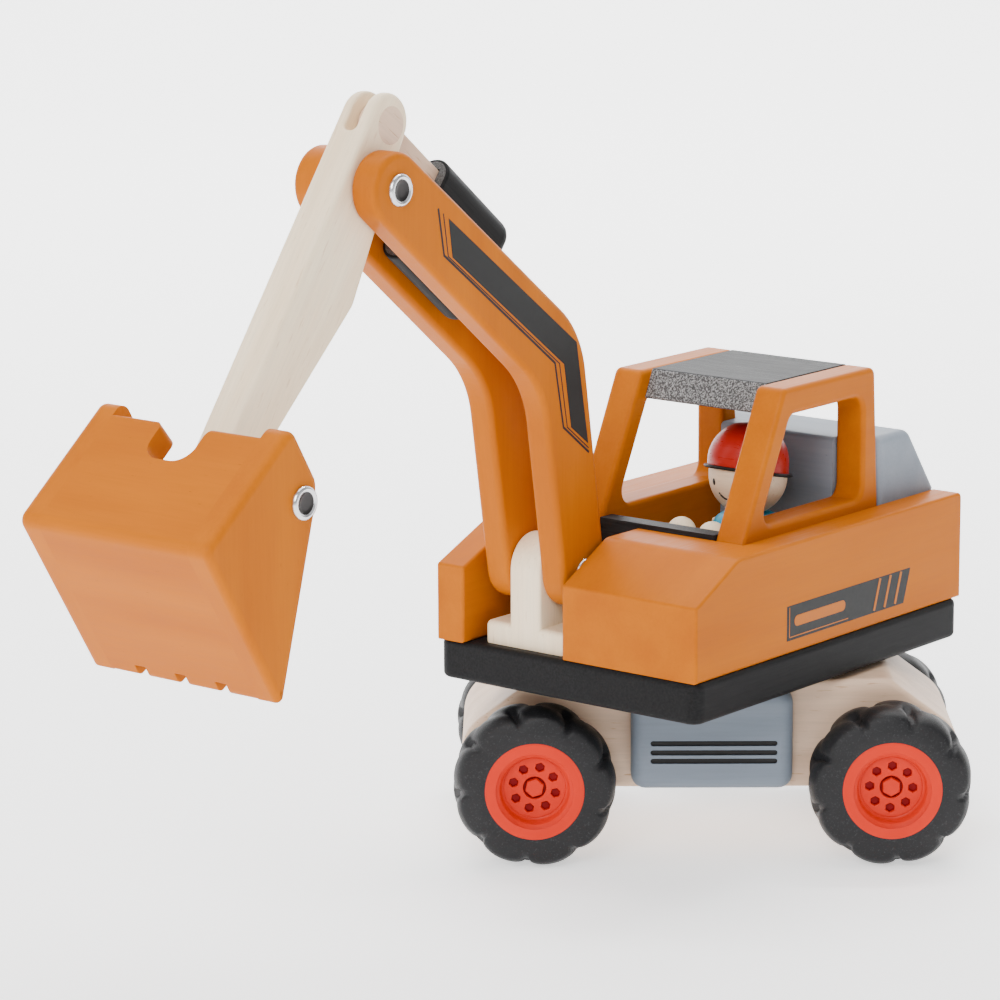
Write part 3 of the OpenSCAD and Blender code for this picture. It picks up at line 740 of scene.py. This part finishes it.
def rim_shape():
    """One moulded rim: ring, recess, disc with eight hexagonal pockets whose floors are painted
    darker as shade, and a hub nut.
    """
    y1 = WHEEL_Y1
    disc = y1 - 6.0
    ring = [(14.0, 38.0), (RIM_R - 2.0, 38.0), (RIM_R - 2.0, y1 - 2.2), (RIM_R, y1 - 2.2)]
    ring += arc(RIM_R - 0.6, y1 - 0.9, 0.6, 0, 90, 4)
    ring += [(RIM_R - 1.2, y1 - 0.25), (RIM_R - 3.6, y1 - 0.25)]
    ring += arc(RIM_R - 4.3, y1 - 0.95, 0.7, 80, 10, 4)
    ring += [(13.0, y1 - 1.9), (12.7, y1 - 2.2), (12.4, disc + 0.9), (12.1, disc + 0.3),
             (DISC_R, disc), (DISC_R - 0.2, disc - 2.4), (14.0, disc - 2.4), (14.0, 38.0)]
    shape = lathe(ring, 96)
    hexes = []
    for i in range(8):
        a = math.radians(22.5 + 45 * i)
        hexes.append(arc(7.9 * math.cos(a), 7.9 * math.sin(a), 1.85, 8, 308, 5))
    groove = arc(0, 0, 4.2, 0, 360 - 360 / 48, 47)
    outline = arc(0, 0, DISC_R, 0, 360 - 360 / 96, 95)
    shape.join(slab([outline] + hexes + [groove], disc - 2.4, disc, 0.0, 0.25, up=True))
    # a darker disc just under the pockets gives them floors painted as shade
    shape.join(slab([outline], disc - 2.6, disc - 1.4, 0.0, 0.0, up=True, slot=1))
    nut = arc(0, 0, 3.6, 10, 310, 5)
    shape.join(slab([rounded(nut, 0.4, 3)], disc - 1.5, disc + 0.7, 0.0, 0.5, up=True))
    return shape


TYRE_MESH = tyre_shape().mesh("tyre")
RIM_MESH = rim_shape().mesh("rim")
# how far each wheel stands turned, in degrees
WHEEL_TURNS = {("front", "left"): 8, ("front", "right"): 25, ("rear", "left"): 20,
               ("rear", "right"): 3}

for (end, side), turn in WHEEL_TURNS.items():
    place = facing(-1 if side == "left" else 1, JOINT[end + "_roll"]["pos_m"])
    for part, master, looks in (("tyre", TYRE_MESH, [tyre_rubber]),
                                ("rim", RIM_MESH, [rim_plastic, rim_pocket_painted_shade])):
        mesh = master.copy()
        mesh.transform(Matrix.Rotation(math.radians(turn), 4, "Z"))
        piece(f"{end}_{side}_{part}_piece", mesh, looks, end + "_wheels",
              [f"{end}_{part}_{side}"], place)

# ---------------------------------------------------------------- upper structure

BOARD_EDGE = 1.0
OVERLAP = 0.05          # keeps joined shapes from sharing vertices
piece("base", board("base_board", EDGE, EDGE, TURN, 2), [black_x], "upper", ["base_board"])

hood_y0, side_y = extent("left_fender", 1)
frame_left = extent("cab_frame_left", 1)
frame_right = extent("cab_frame_right", 1)
HOOD_X0 = 42.0          # the hood blocks begin here, in front of the cab


def clip_left(loop, x0):
    """The part of an outline in front of x0, anticlockwise and closed by a straight edge."""
    pts = [Vector(p) for p in (loop if area(loop) > 0 else loop[::-1])]
    out = []
    for a, b in zip(pts, pts[1:] + pts[:1]):
        if a.x >= x0:
            out.append(a)
        if (a.x - x0) * (b.x - x0) < 0:
            out.append(a.lerp(b, (x0 - a.x) / (b.x - a.x)))
    return out


left_outline = outlines("left_fender")[0]
left = slab([left_outline], frame_left[1], side_y, BOARD_EDGE, BOARD_EDGE)
left.join(slab([clip_left(left_outline, HOOD_X0)], hood_y0,
               frame_left[1] + BOARD_EDGE + OVERLAP, BOARD_EDGE, 0.0))
piece("left_hood_and_fender", left, [orange_x], "upper", ["left_fender"])

right_outline = outlines("right_fender", high=False)[0]
right_in = -frame_left[1]
right = slab([right_outline], -side_y, right_in, BOARD_EDGE, BOARD_EDGE)
back_x = min(p[0] for p in right_outline)
top_z = max(p[1] for p in right_outline)
low_z = min(p[1] for p in right_outline)
right.join(slab([rounded(rectangle(back_x, low_z, HOOD_X0, top_z), [0, 0, 2, 2])],
                right_in - BOARD_EDGE - OVERLAP, frame_right[0], 0.0, BOARD_EDGE))
piece("right_fender_block", right, [orange_x], "upper", ["right_fender"])

CAB_EDGE = 1.8
for side in ("left", "right"):
    piece(f"cab_side_{side}", board("cab_frame_" + side, CAB_EDGE, CAB_EDGE), [orange_x],
          "upper", ["cab_frame_" + side])

roof_y = extent("cab_roof", 1)
roof = slab([rounded(outlines("cab_roof")[0], 0.8, 3)], *roof_y, 0.0, 0.0).mesh("roof")
for poly in roof.polygons:
    if poly.normal.x > 0.8:
        poly.material_index = 1     # the front edge is bare end grain
piece("roof_panel", roof, [black_y, end_grain], "upper", ["cab_roof"])

piece("dash", board("dash_board", 0.0, 0.0), [black_y], "upper", ["dash_board"])
piece("seat", board("seat_block", 1.0, 1.0, TURN, 2), [beech_y], "upper", ["seat_block"])

ENGINE_EDGE = 3.0
CORE_X0, CORE_Z0 = -52.4, 83.0  # the core reaches forward from inside the block
CORE_GAP = 0.1                  # beside each cab frame
engine = slab([outlines("engine_block")[0]], *extent("engine_block", 1), ENGINE_EDGE, ENGINE_EDGE)
core = rectangle(CORE_X0, CORE_Z0, extent("engine_block", 0)[1], extent("engine_block", 2)[1])
engine.join(slab([rounded(core, [0, 0, 2, 0])], roof_y[0] + CORE_GAP, roof_y[1] - CORE_GAP,
                 0.0, 0.0))
piece("engine", engine, [slate_y], "upper", ["engine_block"])


LEVER_R = 5.5
STEM_R = 3.0


def lever(base, top):
    """A dowel with a ball on top."""
    ball_z = top - LEVER_R
    profile = [(0, base), (STEM_R, base), (STEM_R, ball_z - 0.8 * LEVER_R)]
    profile += arc(0, ball_z, LEVER_R, -52, 90, 14)
    return lathe(profile[:-1] + [(0, top)], 32)


lever_x = sum(extent("control_levers", 0)) / 2
lever_y = extent("control_levers", 1)
levers = Shape()
for y in (lever_y[0] + LEVER_R, lever_y[1] - LEVER_R):
    levers.join(lever(*extent("control_levers", 2)), matrix=Matrix.Translation((lever_x, y, 0)))
piece("levers", levers, [beech_z], "upper", ["control_levers"])

foot_x, foot_y, foot_z = (extent("boom_foot", axis) for axis in range(3))
FOOT_BASE = 8.4
FOOT_CORNER = 2.0
TONGUE_HALF = 7.0
foot_plan = rectangle(foot_x[0], foot_z[0], foot_x[1], foot_z[0] + FOOT_BASE)
foot = slab([rounded(foot_plan, [0, 0, FOOT_CORNER, FOOT_CORNER], 5)], *foot_y, 1.5, 1.5)
foot.join(slab([[(foot_x[0] + OVERLAP, foot_z[0] + 1), (foot_x[1] - OVERLAP, foot_z[0] + 1),
                 *arc(FOOT.x, FOOT.z, foot_z[1] - FOOT.z, 0, 180, 24)]],
               ARM_Y - TONGUE_HALF, ARM_Y + TONGUE_HALF, 1.2, 1.2))
piece("foot", foot, [beech_z], "upper", ["boom_foot"])

# ---------------------------------------------------------------- boom

PLATE_EDGE = 2.2
for side in ("left", "right"):
    piece(f"boom_side_{side}", board("boom_plate_" + side, PLATE_EDGE, PLATE_EDGE), [orange_z],
          "boom", ["boom_plate_" + side])

RAM_PLACE = placed(HEAD, BOOM_TILT)
ram_a, ram_y, ram_n = (extent("ram_block", axis, RAM_PLACE.inverted()) for axis in range(3))
ram_r = (ram_y[1] - ram_y[0]) / 2
section = (arc(0, ram_n[0] + ram_r, ram_r, 180, 360, 20)
           + arc(0, ram_n[1] - ram_r, ram_r, 0, 180, 20))
# the oblong section is drawn in y, z and swept along x
ram = slab([section], ram_a[0], ram_a[1], 4.5, 0.8, up=True, cap_slots=(0, 1))
SWEEP = Matrix(((0, 0, 1, 0), (1, 0, 0, 0), (0, 1, 0, 0), (0, 0, 0, 1)))
ROD_T = 4.7
ROD_N = (17.8, 26.0)    # the rod's lower and upper face above the boom's pivots
ROD_GAP = 0.3
well = slab([rectangle(ram_a[0] + 2, ROD_N[0] - ROD_GAP, ram_a[1] + 3, ROD_N[1] + ROD_GAP)],
            -ROD_T / 2 - ROD_GAP, ROD_T / 2 + ROD_GAP, 0.0, 0.0)
piece("ram", cut(Shape().join(ram, matrix=SWEEP), [well]), [black_x, dark_end_grain], "boom",
      ["ram_block"], RAM_PLACE)

CAP_R = 5.75


def cap_shape(thick):
    """A pressed push cap: chrome rim, shallow dark centre."""
    ring = lathe([(CAP_R, 0), (CAP_R, thick * 0.35), (CAP_R - 0.35, thick * 0.8),
                  (CAP_R - 1.0, thick), (CAP_R - 1.7, thick * 0.92), (CAP_R - 2.0, thick * 0.7)],
                 48)
    ring.join(lathe([(CAP_R - 2.0, thick * 0.7), (2.0, thick * 0.62), (0, thick * 0.6)], 48),
              slot=1)
    return ring


for end, at, body, thick in (("foot", FOOT, "boom", 1.1), ("head", HEAD, "boom", 1.6),
                             ("bucket", BUCKET_PIN, "bucket", 1.6)):
    node = end + "_pin_caps"
    y0, y1 = extent(node, 1)
    pair = Shape()
    for y, out in ((y0 + thick, -1), (y1 - thick, 1)):
        pair.join(cap_shape(thick), matrix=facing(out, (at.x, y, at.z)))
    piece(end + "_caps", pair, [steel, dark_steel], body, [node])

# ---------------------------------------------------------------- stick and rod

STICK_PLACE = placed(HEAD, STICK_TILT)
STICK_EDGE = 2.2
SLOT_W = 5.3
SLOT_FLOOR = 13.2
SLOT_EDGE = 1.1
BEYOND = 60.0           # further than any board reaches


def in_slot(p):
    """True on the edges that the slot's cutter makes."""
    return abs(p.y) < SLOT_W / 2 + 0.1 and p.z > SLOT_FLOOR - 0.1


# the slot's section is drawn in y, z and swept along x
slot_section = rounded(rectangle(-SLOT_W / 2, SLOT_FLOOR, SLOT_W / 2, BEYOND), [2, 2, 0, 0])
slot_tool = Shape().join(slab([slot_section], -BEYOND, BEYOND, 0.0, 0.0, up=True), matrix=SWEEP)
stick_y = extent("stick_bar", 1, STICK_PLACE.inverted())
stick = slab([outlines("stick_bar", STICK_PLACE.inverted())[0]], *stick_y, STICK_EDGE, STICK_EDGE)
piece("stick", cut(stick, [slot_tool], SLOT_EDGE, in_slot, 40.0), [beech_z], "stick",
      ["stick_bar"], STICK_PLACE)

FORK_X, FORK_Z = 4.5, 21.5      # the fork axle, from the boom's head pin
PLUG_R = 6.7
plug = lathe([(PLUG_R, -1.5), (PLUG_R, -0.25), (PLUG_R - 0.2, 0.0), (PLUG_R - 0.7, 0.12),
              (0, 0.12)], 48)
plugs = Shape()
for out in (-1, 1):
    plugs.join(plug, matrix=facing(out, (FORK_X, stick_y[1] * out, FORK_Z)))
piece("plugs", plugs, [beech_x_tone_and_shade], "stick", ["fork_plugs"], STICK_PLACE)

rod = slab([outlines("ram_rod", RAM_PLACE.inverted())[0]], -ROD_T / 2, ROD_T / 2, 0.7, 0.7)
piece("rod_bar", rod, [beech_x_tone_and_shade], "rod", ["ram_rod"], RAM_PLACE)

# ---------------------------------------------------------------- bucket

BUCKET_EDGE = 2.6
CHEEK_INNER_EDGE = 1.6
OPEN_X1 = 257.0         # the cheeks' inner edges are free behind this
for side, (low_edge, high_edge) in (("left", (0.0, BUCKET_EDGE)), ("right", (BUCKET_EDGE, 0.0))):
    node = "bucket_side_" + side
    inner_y = extent(node, 1)[0 if high_edge else 1]
    cheek = cut(board(node, low_edge, high_edge), [], CHEEK_INNER_EDGE,
                lambda p: abs(p.y - inner_y) < 0.05 and p.x < OPEN_X1, 200.0)
    piece("bucket_cheek_" + side, cheek, [orange_z], "bucket", [node])

NOTCH_W, NOTCH_L, NOTCH_R, MOUTH_R = 20.0, 15.0, 7.0, 3.5
KERF_W, KERF_L, KERF_PITCH = 4.6, 5.0, 18.0
NOTCH_EDGE, KERF_EDGE = 1.4, 0.5


def plate_frame(loop, tilt, rearmost):
    """The frame of a bucket plate: x along it, z out of its outer face, from one of its ends."""
    along = Vector((math.cos(tilt), -math.sin(tilt)))
    outward = Vector((math.sin(tilt), math.cos(tilt)))
    reach = [Vector(p).dot(along) for p in loop]
    start = min(reach) if rearmost else max(reach)
    at = along * start + outward * max(Vector(p).dot(outward) for p in loop)
    return Matrix.Translation((at.x, ARM_Y, at.y)) @ Matrix.Rotation(tilt, 4, "Y")


def plate_cut(outline, at):
    """A cutter through a bucket plate from an outline in the plate's own plane."""
    return Shape().join(slab([outline], -20.0, 20.0, 0.0, 0.0, up=True), matrix=at)


top_loop = outlines("bucket_top")[0]
front_loop = outlines("bucket_front")[0]
plate_y = extent("bucket_top", 1)
top_at = plate_frame(top_loop, BUCKET_TOP_TILT, True)
MOUTH_W = NOTCH_W / 2 + MOUTH_R + 1
half_notch = [(-9, MOUTH_W), (-OVERLAP, MOUTH_W), (-OVERLAP, NOTCH_W / 2), (NOTCH_L, NOTCH_W / 2)]
half_radii = [0, 0, MOUTH_R, NOTCH_R]
notch = rounded([(x, -y) for x, y in half_notch] + half_notch[::-1],
                half_radii + half_radii[::-1], 8)


def in_notch(p):
    """True on the edges of the notch and its mouth."""
    q = top_at.inverted() @ p
    return abs(q.y) < MOUTH_W and -5 < q.x < NOTCH_L + 0.1


lid = cut(slab([top_loop], *plate_y, 0.0, 0.0), [plate_cut(notch, top_at)], NOTCH_EDGE,
          in_notch, 60.0)
piece("bucket_lid", lid, [orange_y], "bucket", ["bucket_top"])

front_at = plate_frame(front_loop, BUCKET_FRONT_TILT, False)
kerfs = [plate_cut(rectangle(-KERF_L, y - KERF_W / 2, KERF_L, y + KERF_W / 2), front_at)
         for y in (-KERF_PITCH, 0.0, KERF_PITCH)]


def in_kerfs(p):
    """True on the edges of the three kerfs."""
    q = front_at.inverted() @ p
    return abs(q.y) < KERF_PITCH + KERF_W and q.x > -KERF_L - 0.1


face = cut(slab([front_loop], *plate_y, 0.0, 0.0), kerfs, KERF_EDGE, in_kerfs, 60.0)
piece("bucket_face", face, [orange_y], "bucket", ["bucket_front"])

# ---------------------------------------------------------------- driver

DRIVER = TURN.inverted() @ ((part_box("driver_head")[0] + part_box("driver_head")[1]) / 2) / MM
HEAD_Z = 135.2          # centre of the head bead's lower half
CROWN_Z = 140.8         # centre of the helmet's dome
HEAD_R = 14.7
BRIM_Z = 137.0
BRIM_TILT = math.radians(12)
HELMET_R = HEAD_R + 0.5
TORSO_R = 13.5
SHOULDER_R = 6.0
AT_DRIVER = TURN @ Matrix.Translation((DRIVER.x * MM, DRIVER.y * MM, 0))

torso_z0, torso_z1 = extent("driver_body", 2)
torso = [(0, torso_z0), (TORSO_R - 0.6, torso_z0), (TORSO_R, torso_z0 + 0.6),
         *arc(TORSO_R - SHOULDER_R, torso_z1 - SHOULDER_R, SHOULDER_R, 0, 86, 10),
         (5.5, torso_z1), (0, torso_z1)]
piece("driver_torso", lathe(torso), [cyan_paint], "driver", ["driver_body"],
      AT_DRIVER)
head = [(0, HEAD_Z - HEAD_R), *arc(0, HEAD_Z, HEAD_R, -86, -2, 21), (HEAD_R, CROWN_Z),
        (0, CROWN_Z + 1)]
piece("driver_face", lathe(head), [beech_y], "driver", ["driver_head"], AT_DRIVER)


def helmet_shape(n=64, steps=14):
    """A dome over a short straight wall whose lower edge follows the tilted rim."""
    verts = []
    for row in range(-2, steps):
        a = math.pi / 2 * max(row, 0) / steps
        r = HELMET_R * math.cos(a)
        for i in range(n):
            th = 2 * math.pi * i / n
            low = BRIM_Z + HELMET_R * math.cos(th) * math.tan(BRIM_TILT)
            z = low if row < 0 else CROWN_Z + HEAD_R * math.sin(a)
            rr = HELMET_R - 1.2 if row == -2 else r
            verts.append((rr * math.cos(th), rr * math.sin(th), z))
    verts += [(0, 0, CROWN_Z + HEAD_R)] * n
    return Shape().add(verts, tube(n, steps + 3))


piece("helmet", helmet_shape(), [red_paint], "driver", ["driver_helmet"],
      AT_DRIVER)
brim = [(HELMET_R - 0.6, -0.7), (HELMET_R + 0.9, -0.6), (HELMET_R + 1.5, -0.1),
        (HELMET_R + 1.5, 0.4), (HELMET_R + 0.9, 0.7), (HELMET_R - 0.6, 0.6),
        (HELMET_R - 0.6, -0.7)]
tilted = Matrix.Translation((0, 0, BRIM_Z)) @ Matrix.Rotation(-BRIM_TILT, 4, "Y")
piece("brim", Shape().join(lathe(brim), matrix=tilted), [black_plastic], "driver",
      ["driver_brim"], AT_DRIVER)


def on_head(azimuth, drop, lift=0.12):
    """A point just off the head at an azimuth from straight ahead and a height below centre."""
    r = HEAD_R + lift
    flat = math.sqrt(r * r - drop * drop)
    return Vector((flat * math.cos(azimuth), flat * math.sin(azimuth), HEAD_Z - drop))


def dot(azimuth, drop, wide, tall, n=16):
    """An oval of ink that follows the head's surface."""
    verts = [on_head(azimuth, drop, 0.2)]
    verts += [on_head(azimuth + wide / HEAD_R * math.cos(2 * math.pi * i / n),
                      drop + tall * math.sin(2 * math.pi * i / n), 0.03) for i in range(n)]
    return Shape().add(verts, [(0, i + 1, (i + 1) % n + 1) for i in range(n)])


def stroke(points, radius, ring=8):
    """A thin bead of ink along points, pointed at both ends."""
    verts = []
    for i, p in enumerate(points):
        ahead = points[min(i + 1, len(points) - 1)] - points[max(i - 1, 0)]
        u = ahead.normalized().orthogonal().normalized()
        v = ahead.normalized().cross(u)
        r = radius * (0.35 if i in (0, len(points) - 1) else 1.0)
        verts += [p + (u * math.cos(a) + v * math.sin(a)) * r
                  for a in (2 * math.pi * k / ring for k in range(ring))]
    ends = [tuple(range(ring)), tuple(range(len(verts) - ring, len(verts)))]
    return Shape().add(verts, tube(ring, len(points)) + ends)


features = Shape()
for side in (-1, 1):
    features.join(dot(side * 0.42, 1.0, 0.95, 1.35))
smile = [on_head(0.26 * t, 7.0 - 2.3 * t * t, 0.0) for t in (i / 10 for i in range(-10, 11))]
features.join(stroke(smile, 0.42))
piece("driver_features", features, [black_ink], "driver", (), AT_DRIVER)

# ---------------------------------------------------------------- printed graphics

INK = 0.06              # how far printed ink stands off the paint, mm
SUNK = 0.02             # and how far it reaches into it
SIDES = (("left", 1), ("right", -1))


def print_on(name, loops, y, out, mat, body):
    """Flat ink areas on a board face at y, facing out (+1 or -1)."""
    y0, y1 = sorted((y - SUNK * out, y + INK * out))
    shape = Shape()
    for lp in loops:
        shape.join(slab([lp], y0, y1, 0.0, 0.0))
    piece(name, shape, [mat], body)


def band(a, b, w):
    """A straight bar of width w between two points."""
    a, b = Vector(a), Vector(b)
    n = (b - a).normalized()
    s = Vector((-n.y, n.x)) * w / 2
    return [a + s, b + s, b - s, a - s]


PANEL_X0, PANEL_X1 = 31.2, -44.9
PANEL_Z0, PANEL_Z1 = 86.9, 99.8
SLANT = -4.4            # how far the panel's rear end leans back
STRIPE_X = (-25.1, -32.1, -39.1)
FRAME_X, FRAME_Z = PANEL_X0 - 1.6, PANEL_Z0 + 1.2       # thin corner lines inside the panel
panel = [(PANEL_X0, PANEL_Z0), (PANEL_X0, PANEL_Z1), (PANEL_X1 + SLANT, PANEL_Z1),
         (PANEL_X1, PANEL_Z0)]
marks = [band((x, PANEL_Z0 + 0.8), (x + SLANT * 0.9, PANEL_Z1 - 0.5), 1.3) for x in STRIPE_X]
marks += [band((FRAME_X, FRAME_Z), (FRAME_X, PANEL_Z1 - 0.6), 0.35),
          band((FRAME_X, FRAME_Z), (-8.0, FRAME_Z), 0.35),
          rounded(rectangle(-6.0, 91.6, 26.5, 95.6), 1.9)]
for side, out in SIDES:
    print_on(f"fender_print_{side}", [panel], side_y * out, out, black_ink, "upper")
    print_on(f"fender_marks_{side}", marks, (side_y + INK) * out, out, orange_ink, "upper")

# the bent band on the boom and the two lines below it, as (x, z) corners
BAND = [(146.3, 248.2), (144.4, 234.5), (82.8, 189.0), (78.8, 165.6), (68.8, 158.2),
        (75.5, 196.0)]
LINE = [(151.7, 252.1), (148.8, 235.7), (88.0, 190.2), (83.2, 166.3), (68.4, 155.0)]
INNER = [(149.0, 250.1), (146.6, 235.1), (85.4, 189.6), (81.0, 166.0), (68.6, 156.6)]


def polyline(points, w):
    """A bent line of even width as one outline."""
    pts = [Vector(p) for p in points]
    left_side, right_side = [], []
    for i, p in enumerate(pts):
        u = (p - pts[i - 1]).normalized() if i else (pts[1] - p).normalized()
        v = (pts[i + 1] - p).normalized() if i + 1 < len(pts) else u
        n1, n2 = Vector((-u.y, u.x)), Vector((-v.y, v.x))
        m = (n1 + n2) / (1 + n1.dot(n2)) * w / 2
        left_side.append(p + m)
        right_side.append(p - m)
    return left_side + right_side[::-1]


for side, out in SIDES:
    y = extent("boom_plate_" + side, 1)[1 if out > 0 else 0]
    print_on(f"boom_print_{side}", [BAND, polyline(LINE, 0.9), polyline(INNER, 0.5)], y, out,
             black_ink, "boom")

# ---------------------------------------------------------------- studio


FLOOR_GLOW = 0.9        # the white sweep of a product photograph


def floor_look():
    k = Look("studio_floor")
    n = k.noise(k.mapping(6), 1.0, 3.0)
    return k.finish(k.ramp(n, [(0.3, (0.93, 0.93, 0.93)), (0.7, (0.95, 0.95, 0.95))]),
                    k.ramp(n, [(0.3, 0.75), (0.7, 0.85)]),
                    Emission_Color=(1, 1, 1, 1), Emission_Strength=FLOOR_GLOW)


def cyclorama():
    """A pale floor that curves up into a back wall."""
    wide, near, back, curve, tall = 6.0, -3.0, 2.2, 1.2, 4.0
    path = [(near, 0.0), (back, 0.0)]
    path += [(back + curve * math.sin(a), curve * (1 - math.cos(a)))
             for a in (math.pi / 2 * i / 16 for i in range(1, 17))]
    path += [(back + curve, tall)]
    me = bpy.data.meshes.new("studio")
    verts = [(x, y, z) for y, z in path for x in (-wide, wide)]
    faces = [(2 * i, 2 * i + 1, 2 * i + 3, 2 * i + 2) for i in range(len(path) - 1)]
    me.from_pydata(verts, [], faces)
    me.shade_smooth()
    me.materials.append(floor_look())
    ob = bpy.data.objects.new("studio", me)
    bpy.context.scene.collection.objects.link(ob)


cyclorama()


def softbox(name, at, target, size, power):
    """A rectangular area light at a place, turned to a target."""
    data = bpy.data.lights.new(name, "AREA")
    data.shape = "RECTANGLE"
    data.size, data.size_y = size
    data.energy = power
    ob = bpy.data.objects.new(name, data)
    ob.location = at
    ob.rotation_euler = (Vector(target) - Vector(at)).to_track_quat("-Z", "Y").to_euler()
    bpy.context.scene.collection.objects.link(ob)
    return ob


AIM = (-0.05, -0.05, 0.14)      # the middle of the toy
softbox("key", (-0.45, -1.8, 1.3), AIM, (1.0, 1.0), 34)
softbox("fill", (1.5, -1.0, 0.7), AIM, (1.2, 1.4), 2)
softbox("top", (0.0, 0.1, 1.8), AIM, (1.4, 1.4), 18)
softbox("left", (-1.4, -0.7, 0.8), AIM, (1.2, 1.0), 12)
softbox("wall_wash", (0.0, 1.0, 2.6), (0.0, 3.4, 0.9), (3.0, 0.8), 260)

world = bpy.data.worlds.new("studio_air")
world.use_nodes = True
world.node_tree.nodes["Background"].inputs["Color"].default_value = (1, 1, 1, 1)
world.node_tree.nodes["Background"].inputs["Strength"].default_value = 0.5
bpy.context.scene.world = world

CAMERA_AT = (-0.06494, -1.45899, 0.4357)
PITCH, YAW, ROLL = (math.radians(a) for a in (11.96, -0.5, -0.28))
camera = bpy.data.cameras.new("photo_camera")
camera.lens = 144.0
camera.sensor_width = 36.0
camera.clip_end = 50
camera_ob = bpy.data.objects.new("photo_camera", camera)
bpy.context.scene.collection.objects.link(camera_ob)
look = Vector((math.sin(YAW) * math.cos(PITCH), math.cos(YAW) * math.cos(PITCH),
               -math.sin(PITCH)))
level = look.to_track_quat("-Z", "Y").to_matrix().to_4x4()
camera_ob.matrix_world = (Matrix.Translation(CAMERA_AT) @ level
                          @ Matrix.Rotation(ROLL, 4, "Z"))
bpy.context.scene.camera = camera_ob
